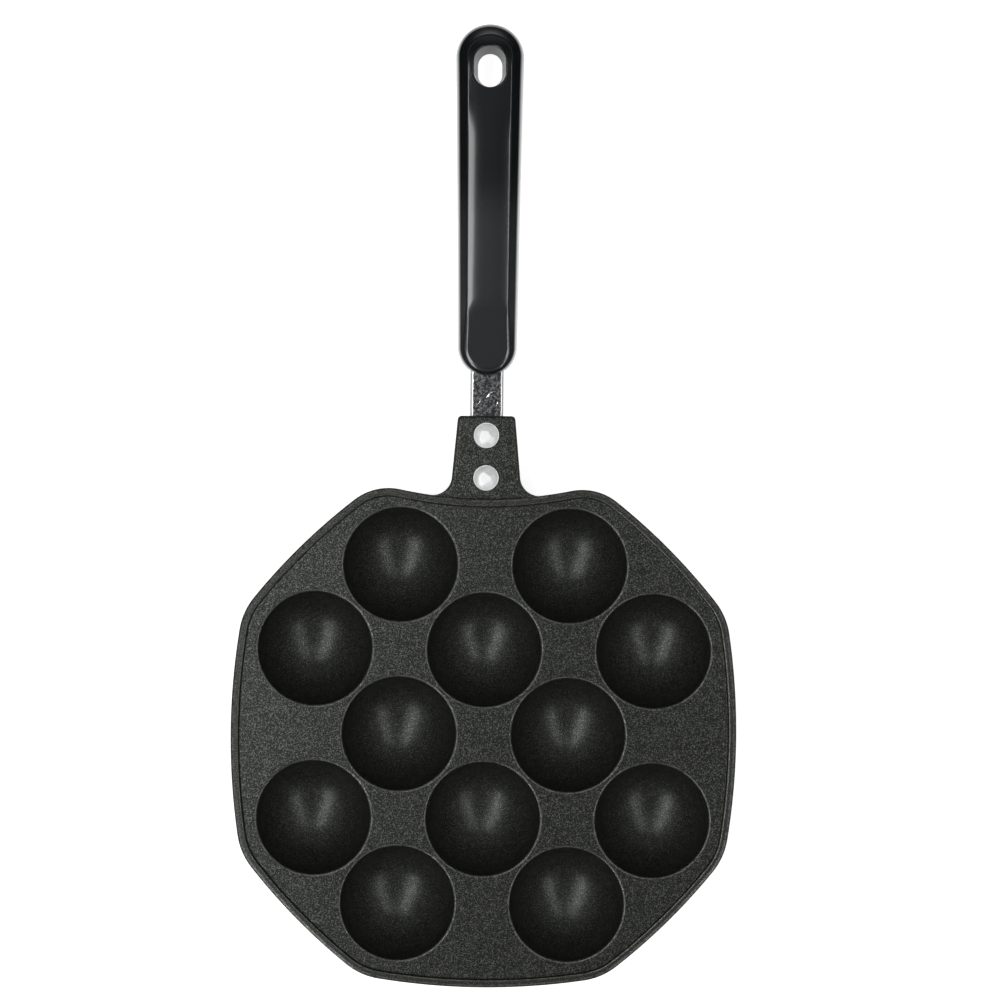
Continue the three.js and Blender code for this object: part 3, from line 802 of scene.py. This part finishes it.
def revolved(profile, place, segments=CIRCLE_STEPS):
    """A closed body turned about an upright axis, from a (radius, height) line that starts and
    ends on the axis."""
    shell = Shell()
    rings = [shell.row(circle(*place, radius, segments), height) for radius, height in profile[1:-1]]
    shell.strips(rings)
    for ring, (_, height) in ((rings[0], profile[0]), (rings[-1], profile[-1])):
        shell.fan(ring, *shell.ring([(*place, height)]))
    return shell


def rod(place, radius, bottom, top):
    return revolved([(0, bottom), (radius, bottom), (radius, top), (0, top)], place)


def raised(shell):
    """Moves a shell that is made along the grip to its place on the risen strap."""
    shell.points = list(to_pan(np.array(shell.points, float)))
    return shell


def channel(growth, edge_round):
    """The strap's section as (across, up) points, grown on every side for the slot it fits."""
    side = STRAP_WIDTH / 2 + growth
    inner = STRAP_WIDTH / 2 - STRAP_GAUGE - growth
    foot = -STRAP_DEPTH - growth
    web = -STRAP_GAUGE - growth
    right = rounded(
        (0, growth, 0),
        (side, growth, STRAP_BEND + growth),
        (side, foot, edge_round),
        (inner, foot, edge_round),
        (inner, web, STRAP_BEND - STRAP_GAUGE - growth),
        (0, web, 0),
    )
    left = [(-x, z) for x, z in right[-2:0:-1]]
    return np.array(right + left)


def along_strap(section, pitch, y, z):
    """A strap section stood up across the strap, leaning back by the pitch there."""
    up = section[:, 1]
    return np.stack([section[:, 0], y - up * math.sin(pitch), z + up * math.cos(pitch)], 1)


def strap_shell():
    shell = Shell()
    section = channel(0, STRAP_EDGE_ROUND)
    places = [(0, STRAP_START, STRAP_TOP)]
    bend_start = STRAP_RISE_START - STRAP_RISE_RADIUS * math.tan(STRAP_PITCH / 2)
    for i in range(BEND_STEPS + 1):
        pitch = STRAP_PITCH * i / BEND_STEPS
        y = bend_start + STRAP_RISE_RADIUS * math.sin(pitch)
        places.append((pitch, y, STRAP_TOP + STRAP_RISE_RADIUS * (1 - math.cos(pitch))))
    places.append((STRAP_PITCH, *on_strap(STRAP_END)))
    shell.tube([shell.ring(along_strap(section, *place)) for place in places])
    return shell


def strap_holes():
    radius = RIVET_SHANK_RADIUS + CLEARANCE
    bottom, top = STRAP_TOP - STRAP_DEPTH / 2, STRAP_TOP + STRAP_DEPTH / 2
    holes = [rod((0, y), radius, bottom, top) for y in RIVET_PLACES.values()]
    screw = rod((0, SCREW_PLACE), SCREW_SHANK_RADIUS + CLEARANCE, -STRAP_DEPTH / 2, STRAP_DEPTH / 2)
    return [*holes, raised(screw)]


def rivet_shell(place, facets):
    """A domed rivet whose head is flattened by the blows of a hammer, each a facet given by the
    direction it faces, its slope and its height on the axis as a share of the head's."""
    seat = TANG_TOP + CLEARANCE
    tail = STRAP_TOP - STRAP_GAUGE - CLEARANCE
    dome = (RIVET_HEAD_RADIUS**2 + RIVET_HEAD_HEIGHT**2) / (2 * RIVET_HEAD_HEIGHT)
    rim = math.asin(RIVET_HEAD_RADIUS / dome)
    profile = [(0, seat + RIVET_HEAD_HEIGHT)]
    for i in range(1, RIVET_RINGS):
        x, z = dome * unit(math.pi / 2 - rim * i / RIVET_RINGS)
        profile.append((x, seat + RIVET_HEAD_HEIGHT - dome + z))
    under = rounded(
        (RIVET_HEAD_RADIUS, seat + RIVET_RIM, 0),
        (RIVET_HEAD_RADIUS, seat, RIVET_RIM / 2),
        (RIVET_SHANK_RADIUS, seat, 0),
        (RIVET_SHANK_RADIUS, tail, 0),
        (RIVET_TAIL_RADIUS, tail, RIVET_RIM),
        (RIVET_TAIL_RADIUS, tail - RIVET_TAIL_HEIGHT, 2 * RIVET_RIM),
        (0, tail - RIVET_TAIL_HEIGHT, 0),
    )
    shell = revolved(profile + under, place)
    flattened = []
    for x, y, z in shell.points:
        if z > seat:
            spot = np.array([x - place[0], y - place[1]])
            for facing, slope, share in facets:
                fall = spot @ unit(math.radians(facing)) * math.tan(math.radians(slope))
                plane = seat + RIVET_HEAD_HEIGHT * share - fall
                z = float(smooth_min(z, max(plane, seat + RIVET_RIM / 2), FACET_BLEND))
        flattened.append((x, y, z))
    shell.points = flattened
    return shell


def screw_shell():
    seat = SCREW_SEAT - CLEARANCE
    head = seat - SCREW_HEAD_HEIGHT
    profile = rounded(
        (0, head, 0),
        (SCREW_HEAD_RADIUS, head, SCREW_ROUND),
        (SCREW_HEAD_RADIUS, seat, 0),
        (SCREW_SHANK_RADIUS, seat, 0),
        (SCREW_SHANK_RADIUS, 0, 0),
        (0, 0, 0),
    )
    return raised(revolved(profile, (0, SCREW_PLACE)))


def screw_slots():
    width, length, depth = SCREW_SLOT
    head = SCREW_SEAT - CLEARANCE - SCREW_HEAD_HEIGHT
    slots = []
    for size in ((width, length), (length, width)):
        plan = np.array(SQUARE) * size / 2 + (0, SCREW_PLACE)
        slot = Shell()
        slot.tube([slot.row(plan, head - depth), slot.row(plan, head + depth)])
        slots.append(raised(slot))
    return slots


def grip_half(share):
    """Half the grip's width at a share of the way from the nose's centre to the tail's."""
    flare = (1 - GRIP_FLARE_SHARE) * share + GRIP_FLARE_SHARE * share**3
    return GRIP_NOSE_RADIUS + (GRIP_TAIL_RADIUS - GRIP_NOSE_RADIUS) * flare


def grip_edge():
    """The grip's outline where it is widest, from the middle of its nose round to the right."""
    shares = np.arange(GRIP_SIDE_STEPS) / GRIP_SIDE_STEPS
    span = TAIL_CENTRE - NOSE_CENTRE
    half = grip_half(shares)
    lean = np.arctan(np.gradient(half, shares * span))
    outward = np.stack([np.cos(lean), -np.sin(lean)], 1)
    right = np.stack([half, NOSE_CENTRE + shares * span], 1), outward
    mirror = np.array([-1, 1])
    left = tuple(part[:0:-1] * mirror for part in right)
    quarter = math.pi / 2
    nose, tail = (0, NOSE_CENTRE), (0, TAIL_CENTRE)
    return joined(
        arc(nose, GRIP_NOSE_RADIUS, -quarter, 0, GRIP_ARC_STEPS),
        right,
        arc(tail, GRIP_TAIL_RADIUS, 0, quarter, GRIP_ARC_STEPS),
        arc(tail, GRIP_TAIL_RADIUS, quarter, 2 * quarter, GRIP_ARC_STEPS),
        left,
        arc(nose, GRIP_NOSE_RADIUS, 2 * quarter, 3 * quarter, GRIP_ARC_STEPS),
    )


def grip_place(plan):
    """For points in the grip's plan: the half width of the panel there, the width of the flank
    beside it, and how far in the point lies as a share of that width."""
    x, along = plan[:, 0], plan[:, 1]
    share = np.clip((along - NOSE_CENTRE) / (TAIL_CENTRE - NOSE_CENTRE), 0, 1)
    panel = GRIP_PANEL_NOSE + (GRIP_PANEL_TAIL - GRIP_PANEL_NOSE) * share
    beyond = along - np.clip(along, NOSE_CENTRE, TAIL_CENTRE)
    flank = grip_half(share) - panel
    return panel, flank, (grip_half(share) - np.hypot(x, beyond)) / flank


def tail_drop(along):
    """How far down the tail has curved, from 0 to 1."""
    return np.maximum(0, (along - GRIP_LENGTH + GRIP_TAIL_REACH) / GRIP_TAIL_REACH) ** 3


def grip_waist(along):
    return GRIP_WAIST - GRIP_TAIL_WAIST_DROP * tail_drop(along)


def grip_top(plan):
    """The grip's upper side: a crowned panel that a flat facet cuts off towards the nose, and
    round both a flank that rises steeply at first."""
    panel, breadth, inward = grip_place(plan)
    x, along = plan[:, 0], plan[:, 1]
    top = GRIP_TOP - GRIP_TAIL_DROP * tail_drop(along)
    bulge = eased(np.clip((GRIP_LENGTH - GRIP_FLAT_REACH - along) / GRIP_FLAT_FADE, 0, 1))
    crown = GRIP_CROWN * (GRIP_FLAT_SHARE + (1 - GRIP_FLAT_SHARE) * bulge)
    crease = top - crown
    crowned = top - crown * np.abs(x / panel) ** GRIP_CROWN_POWER
    ahead = np.maximum(0, GRIP_FACET_START - along)
    behind = np.maximum(0, along - GRIP_FACET_START)
    facet = crease - GRIP_FACET_SLOPE * ahead + GRIP_RAMP_SLOPE * behind
    fall = GRIP_FACET_SLOPE * ahead * GRIP_FLANK_DROP_SHARE
    waist = grip_waist(along)
    wall_in, wall_up = GRIP_WALL_SHARES
    slope = wall_up + (1 - wall_up) * (inward - wall_in) / (1 - wall_in)
    rise = smooth_min(inward * wall_up / wall_in, slope, GRIP_WALL_BLEND_SHARE)
    flank = waist + (crease - fall - waist) * rise
    meeting = GRIP_BEVEL_REACH - (1 - GRIP_FLANK_DROP_SHARE) * GRIP_FACET_SLOPE * ahead
    bevel = facet + GRIP_BEVEL_SLOPE * ((inward - 1) * breadth - meeting)
    cover = smooth_min(smooth_min(crowned, facet, GRIP_RAMP_BLEND), bevel, GRIP_FACET_BLEND)
    return smooth_min(cover, flank, GRIP_CREASE_BLEND)


def grip_bottom(plan):
    along = plan[:, 1]
    belly = GRIP_BELLY * np.sin(np.pi * np.clip(along / GRIP_LENGTH, 0, 1))
    nose = eased(np.clip(1 - along / NOSE_CENTRE, 0, 1))
    return GRIP_BOTTOM - belly + GRIP_NOSE_LIFT * nose + GRIP_TAIL_LIFT * tail_drop(along)


def hang_hole(size, growth=0):
    """The hang hole's outline: two half circles and the straight stretches between them."""
    width, length = size
    radius, reach = width / 2 + growth, (length - width) / 2
    angles = 2 * np.pi * (np.arange(CIRCLE_STEPS) + 0.5) / CIRCLE_STEPS
    x, along = radius * np.cos(angles), radius * np.sin(angles)
    return np.stack([x, HANG_HOLE_PLACE + along + reach * np.sign(along)], 1)


def clear_of_hole(plan, size, gap):
    width, length = size
    reach = (length - width) / 2
    beyond = plan[:, 1] - np.clip(plan[:, 1], HANG_HOLE_PLACE - reach, HANG_HOLE_PLACE + reach)
    return np.hypot(plan[:, 0], beyond) > width / 2 + gap


def lattice(step, start, end):
    """A square lattice of points over the grip's plan between two places along it."""
    across = np.arange(-GRIP_TAIL_RADIUS, GRIP_TAIL_RADIUS, step)
    along = np.arange(start, end, step)
    return np.stack(np.meshgrid(across, along), -1).reshape(-1, 2)


def grip_shell():
    shell = Shell()
    edge = grip_edge()
    panel, flank, _ = grip_place(edge[0])
    rows = []
    for share in GRIP_ROW_SHARES:
        plan = inset(edge, flank * share)
        rows.append(shell.row(plan, grip_top(plan)))
    shell.strips(rows)

    # The hang hole, with a rounded rim that follows the surface round it
    levels = []
    mouths = (HANG_HOLE_TOP, 1, grip_top), (HANG_HOLE_BOTTOM, -1, grip_bottom)
    for size, side, surface in mouths:
        rim = surface(hang_hole(size, HANG_HOLE_ROUND))
        ladder = []
        for x, z in quarter_turn():
            plan = hang_hole(size, HANG_HOLE_ROUND * (1 - z))
            ladder.append(shell.row(plan, rim - side * HANG_HOLE_ROUND * (1 - x)))
        shell.strips(ladder)
        levels.append(ladder)
    shell.strip(levels[0][-1], levels[1][-1])

    fine = lattice(GRIP_FINE_STEP, 0, GRIP_FINE_END)
    inner = np.concatenate([fine, lattice(GRIP_COARSE_STEP, GRIP_FINE_END, GRIP_LENGTH)])
    inner = inner[grip_place(inner)[2] > GRIP_ROW_SHARES[-1] + GRIP_ROW_GAP]
    inner = inner[clear_of_hole(inner, HANG_HOLE_TOP, 2 * HANG_HOLE_ROUND)]
    shell.fill([rows[-1], levels[0][0]], inner, grip_top)

    # The underside, which curves in from the waist
    lower = [rows[0]]
    for x, z in quarter_turn(GRIP_UNDER_STEPS)[1:]:
        plan = inset(edge, GRIP_UNDER_ROUND * (1 - x))
        waist = grip_waist(edge[0][:, 1])
        lower.append(shell.row(plan, waist + (grip_bottom(plan) - waist) * z))
    shell.strips(lower)
    sole = lattice(GRIP_SOLE_STEP, 0, GRIP_LENGTH)
    _, flank, inward = grip_place(sole)
    sole = sole[inward * flank > GRIP_UNDER_ROUND + GRIP_SOLE_STEP / 2]
    sole = sole[clear_of_hole(sole, HANG_HOLE_BOTTOM, 2 * HANG_HOLE_ROUND)]
    shell.fill([lower[-1], levels[1][0]], sole, grip_bottom)
    shell.points = [(x, along + GRIP_START, up) for x, along, up in shell.points]
    return raised(shell)


def grip_hollows():
    """What is cut out of the grip: the strap's slot, and the screw's hole and recess."""
    slot = Shell()
    section = channel(CLEARANCE, 0)
    ends = 0, STRAP_END + CLEARANCE
    slot.tube([slot.ring([(x, along, up) for x, up in section]) for along in ends])
    below = 2 * GRIP_BOTTOM
    shank = SCREW_SHANK_RADIUS + CLEARANCE
    head = SCREW_HEAD_RADIUS + CLEARANCE
    profile = [(0, below), (head, below), (head, SCREW_SEAT), (shank, SCREW_SEAT), (shank, 0), (0, 0)]
    return [raised(slot), raised(revolved(profile, (0, SCREW_PLACE)))]


class Nodes:
    """A tree of shader nodes, for a material or for the sky."""

    def __init__(self, owner):
        owner.use_nodes = True
        self.owner = owner
        self.tree = owner.node_tree
        self.tree.nodes.clear()

    def feed(self, socket, value):
        """Links a node or one of its outputs to a socket, or else sets the socket's own value."""
        if isinstance(value, bpy.types.Node):
            value = value.outputs[0]
        if isinstance(value, bpy.types.NodeSocket):
            self.tree.links.new(value, socket)
        else:
            socket.default_value = value

    def node(self, kind, *values, **settings):
        """Adds a node. The settings in small letters are its own and come first, the others feed
        the sockets of those names, and the values feed its sockets in order."""
        made = self.tree.nodes.new("ShaderNode" + kind)
        for name, value in settings.items():
            if name.islower():
                setattr(made, name, value)
            else:
                self.feed(made.inputs[name.replace("_", " ")], value)
        for socket, value in zip(made.inputs, values):
            self.feed(socket, value)
        return made

    def math(self, operation, a, b):
        return self.node("Math", a, b, operation=operation)

    def range(self, value, low, high, start=0, end=1, kind="SMOOTHSTEP"):
        """Maps a stretch of values onto another, by default smoothly, and held at both ends."""
        ends = {"From_Min": low, "From_Max": high, "To_Min": start, "To_Max": end}
        return self.node("MapRange", interpolation_type=kind, Value=value, **ends)


class Surface(Nodes):
    """A material over the piece's own coordinates, in metres."""

    def __init__(self, name, **settings):
        super().__init__(bpy.data.materials.new(name))
        self.places = self.node("TexCoord").outputs["Object"]
        self.shader = self.node("BsdfPrincipled", **settings)
        self.node("OutputMaterial", self.shader)

    def noise(self, size, detail=3, roughness=0.5, stretch=None):
        """Soft noise whose blotches are about a size across, in millimetres."""
        places = self.node("Mapping", Vector=self.places, Scale=stretch) if stretch else self.places
        sockets = {"Scale": 1 / (size * MM), "Detail": detail, "Roughness": roughness}
        return self.node("TexNoise", Vector=places, **sockets).outputs["Fac"]

    def near(self, centre, reaches, turn=0):
        """Falls evenly from 1 at a centre to 0 on the ellipsoid with these reaches."""
        place, scale = ([value * MM for value in values] for values in (centre, reaches))
        sockets = {"Location": place, "Rotation": (0, 0, turn), "Scale": scale}
        moved = self.node("Mapping", vector_type="TEXTURE", Vector=self.places, **sockets)
        return self.node("TexGradient", moved, gradient_type="SPHERICAL").outputs["Fac"]

    def band(self, level, reach):
        """Falls evenly from 1 at a height to 0 at a reach above and below it."""
        return self.near((0, 0, level), (FAR, FAR, reach))

    def spread(self, noise, start=0, end=1):
        """Maps the values that a noise mostly has."""
        return self.range(noise, *NOISE_SPAN, start, end)

    def between(self, mask, start, end):
        return self.range(mask, 0, 1, start, end)

    def colours(self, factor, *ends):
        """A colour between two, by a factor from 0 to 1."""
        low, high = ((*end, 1) if isinstance(end, tuple) else end for end in ends)
        mix = self.node("Mix", data_type="RGBA", Factor=factor, A=low, B=high)
        return mix.outputs["Result"]

    def set(self, **sockets):
        for name, value in sockets.items():
            self.feed(self.shader.inputs[name.replace("_", " ")], value)

    def bumps(self, *layers):
        """Raises the surface by layers of (height, depth in millimetres)."""
        under = {}
        for height, depth in layers:
            under = {"Normal": self.node("Bump", Distance=depth * MM, Height=height, **under)}
        self.set(**under)


def coating_surface():
    """Dark satin non-stick coating, finely grained, dusted with pale specks, and with pale lines
    painted along the lip and the cups' edges as a painted highlight."""
    surface = Surface("nonstick_coating", IOR=1.38, Specular_Tint=COATING_TINT)
    grain = surface.noise(0.6, 3, 0.6)
    deep = surface.range(surface.band(0, PLATE_TOP), 0.02, 0.12)
    specks = surface.range(surface.noise(0.4, 2, 0.7), 0.5, 0.66)
    # Fewer pale flecks low down, in the cups and underneath: a painted shade that keeps the cups dark
    fleck = surface.math("MULTIPLY", specks, surface.between(deep, 1, 0.72))
    # Pale lines painted on the lip's and the cups' rounded edges: a painted highlight, broken up by
    # patches
    edges = [surface.range(surface.band(*place), 0, 0.5) for place in EDGE_HIGHLIGHT_BANDS]
    patches = surface.range(surface.noise(1.6), 0.35, 0.6, 0.2, 1)
    edge_highlight = surface.math("MULTIPLY", surface.math("MAXIMUM", *edges), patches)
    ground = surface.colours(surface.spread(surface.noise(9)), *COATING_TONES)
    ground = surface.colours(edge_highlight, ground, COATING_EDGE_HIGHLIGHT)
    surface.set(
        Base_Color=surface.colours(fleck, ground, COATING_FLECK),
        Metallic=fleck,
        Roughness=surface.spread(grain, 0.31, 0.39),
        Specular_IOR_Level=surface.between(deep, 0.5, 0.58),
    )
    surface.bumps((surface.noise(2.2, 2), 0.02), (grain, 0.015))
    return surface.owner


def steel_surface():
    """Plated steel: a web painted dark and mottled, as painted shade and painted reflections, dented
    and scratched, between bends painted bright as a painted highlight, and duller flanges."""
    surface = Surface("strap_steel", Metallic=1.0)
    mottle = surface.noise(1, 4, 0.6)
    web = surface.range(surface.near((0, 0, 0), (STRAP_WIDTH / 2, FAR, FAR)), *WEB_EDGE)
    # The web is painted dark and mottled as painted shade and reflections; the bends are painted
    # bright as a painted highlight
    shade_and_highlight = surface.math("MAXIMUM", surface.range(mottle, 0.4, 0.62), surface.between(web, 1, 0))
    flange = surface.range(surface.band(STRAP_TOP - FLANGE_MIDDLE, FLANGE_REACH), 0.3, 0.55)
    dull = surface.math("MULTIPLY", flange, surface.spread(mottle, 0.7, 1))
    polish = surface.between(web, 0, 0.26)
    surface.set(
        Base_Color=surface.colours(dull, surface.colours(shade_and_highlight, *STEEL_SHADE_AND_HIGHLIGHT), STEEL_DULL),
        Roughness=surface.math("SUBTRACT", surface.spread(mottle, 0.34, 0.42), polish),
    )
    dents = surface.math("MULTIPLY", surface.math("SUBTRACT", mottle, 0.5), web)
    scratches = surface.noise(0.5, 2, stretch=(1, 0.12, 1))
    marks = []
    for x, y, reaches, turn, depth in STRAP_MARKS:
        mark = surface.near((x, CENTRE_Y + y, 0), (*reaches, FAR), math.radians(turn))
        marks.append((mark, depth))
    surface.bumps((dents, 0.045), (scratches, 0.003), (surface.noise(0.35), 0.002), *marks)
    return surface.owner


def moulding_surface():
    """Glossy black moulding, faintly rippled, duller in the hang hole and hazy where it is held."""
    coat = {"Coat_Roughness": 0.15, "Coat_IOR": 1.62}
    surface = Surface("grip_moulding", IOR=1.5, Specular_Tint=MOULDING_TINT, **coat)
    fine = surface.noise(0.4)
    hole_y, _ = on_strap(GRIP_START + HANG_HOLE_PLACE)
    beside = surface.near((0, CENTRE_Y + hole_y, 0), (*HOLE_MATT_REACH, FAR))
    inside = surface.range(beside, 0.05, 0.1)
    grain = surface.spread(fine, 0.32, 0.4)
    held = surface.near((0, CENTRE_Y + HELD_MIDDLE, 0), (FAR, HELD_REACH, FAR))
    haze = surface.between(surface.range(held, 0.1, 0.65), 0.06, 0.35)
    surface.set(
        Base_Color=surface.colours(surface.spread(fine), *MOULDING_TONES),
        Roughness=surface.math("ADD", grain, surface.between(inside, 0, 0.2)),
        Specular_IOR_Level=surface.math("ADD", haze, surface.between(inside, 0, 0.12)),
        Coat_Weight=surface.between(inside, 1, 0.35),
    )
    surface.bumps((surface.noise(6, 2), 0.015), (fine, 0.001))
    return surface.owner


def blotched_metal(name, metallic, tones, roughness, blots, scratches):
    """Metal with soft blots, given as (size, depth), under fine scratches, given as (size,
    detail, share of the size along them, depth)."""
    surface = Surface(name, Metallic=metallic)
    blot = surface.noise(blots[0])
    size, detail, share, depth = scratches
    surface.set(
        Base_Color=surface.colours(surface.spread(blot), *tones),
        Roughness=surface.spread(blot, *roughness),
    )
    fine = surface.noise(size, detail, stretch=(1, share, 1))
    surface.bumps((blot, blots[1]), (fine, depth))
    return surface.owner


coating, steel, moulding = coating_surface(), steel_surface(), moulding_surface()
aluminium = blotched_metal("rivet_aluminium", *ALUMINIUM)
zinc = blotched_metal("screw_zinc", *ZINC)

make_piece("pan_body", pan_shell(), coating, "pan_casting")
make_piece("strap", strap_shell(), steel, "handle_strap", strap_holes())
for name, y in RIVET_PLACES.items():
    shell = rivet_shell((0, y), RIVET_FACETS[name])
    make_piece(name + "_hammered", shell, aluminium, name)
make_piece("grip", grip_shell(), moulding, "handle_grip", grip_hollows())
make_piece("screw", screw_shell(), zinc, "grip_screw", screw_slots())


# The floor, lamps and sky of a plain studio, and the photograph's view straight down
def floor():
    """Pale where light falls on it, white where it is seen or mirrored, and clear from below."""
    mesh = bpy.data.meshes.new("floor")
    corners = [(x * FLOOR_REACH, y * FLOOR_REACH, -FLOOR_GAP) for x, y in SQUARE]
    mesh.from_pydata(corners, [], [(0, 1, 2, 3)])
    white = Nodes(bpy.data.materials.new("floor_white"))
    grain = white.node("TexNoise", Scale=FLOOR_GRAIN)
    shade = white.range(grain, 0, 1, *FLOOR_WHITE, kind="LINEAR")
    rays = white.node("LightPath").outputs
    seen = white.math("MAXIMUM", rays["Is Camera Ray"], rays["Is Glossy Ray"])
    seen = white.math("MAXIMUM", seen, rays["Is Transmission Ray"])
    glow = white.node("Emission", Strength=white.math("MULTIPLY", seen, FLOOR_GLOW))
    above = white.node("AddShader", white.node("BsdfDiffuse", shade), glow)
    behind = white.node("NewGeometry").outputs["Backfacing"]
    clear = white.node("BsdfTransparent")
    white.node("OutputMaterial", white.node("MixShader", behind, above, clear))
    mesh.materials.append(white.owner)
    add_object("floor", mesh)


def lamp(name, direction, splay, breadth, radiance):
    """A long soft lamp that shines from a direction on the middle of the pan. The splay turns
    its end near the handle towards the middle."""
    light = bpy.data.lights.new(name, "AREA")
    light.shape = "RECTANGLE"
    light.size, light.size_y = breadth, LAMP_LENGTH
    light.energy = radiance * math.pi * light.size * light.size_y
    away = Vector(direction).normalized()
    length = Vector((-splay, 1, 0))
    length = (length - away * away.dot(length)).normalized()
    turn = Matrix((length.cross(away), length, away)).transposed().to_4x4()
    place = Vector(LAMP_AIM) + away * LAMP_DISTANCE
    add_object(name, light).matrix_world = Matrix.Translation(place) @ turn


def sky():
    """White for the camera. What glossy surfaces mirror is a studio by height: dark walls, a paler
    band above them and a dim ceiling, with a white horizon."""
    world = bpy.data.worlds.new("studio")
    bpy.context.scene.world = world
    studio = Nodes(world)
    places = studio.node("TexCoord").outputs["Generated"]
    height = studio.node("SeparateXYZ", places).outputs["Z"]
    ramp = studio.node("ValToRGB", height)
    ramp.color_ramp.interpolation = "EASE"
    elements = ramp.color_ramp.elements
    for place, _ in SKY_LEVELS[2:]:
        elements.new(place)
    for element, (place, level) in zip(elements, SKY_LEVELS):
        element.position = place
        element.color = (level, level, level, 1)
    rays = studio.node("LightPath").outputs
    mirrored = studio.math("MAXIMUM", rays["Is Glossy Ray"], rays["Is Transmission Ray"])
    horizon = studio.range(height, 0, SKY_HORIZON, 1, 0, kind="LINEAR")
    mirrored = studio.math("MULTIPLY", mirrored, horizon)
    white = studio.math("MAXIMUM", rays["Is Camera Ray"], mirrored)
    walls, plain = studio.node("Background", ramp), studio.node("Background", (1, 1, 1, 1))
    studio.node("OutputWorld", studio.node("MixShader", white, walls, plain))


def camera():
    lens = bpy.data.cameras.new("camera")
    lens.angle = CAMERA_ANGLE
    made = add_object("camera", lens)
    made.location = CAMERA_PLACE
    made.rotation_euler = (0, 0, CAMERA_TURN)
    bpy.context.scene.camera = made


floor()
for name, slope, *rest in LAMPS:
    lamp(name, (math.tan(math.radians(slope)), -LAMP_LEAN, 1), *rest)
sky()
camera()
bpy.context.scene.view_settings.view_transform = "Standard"
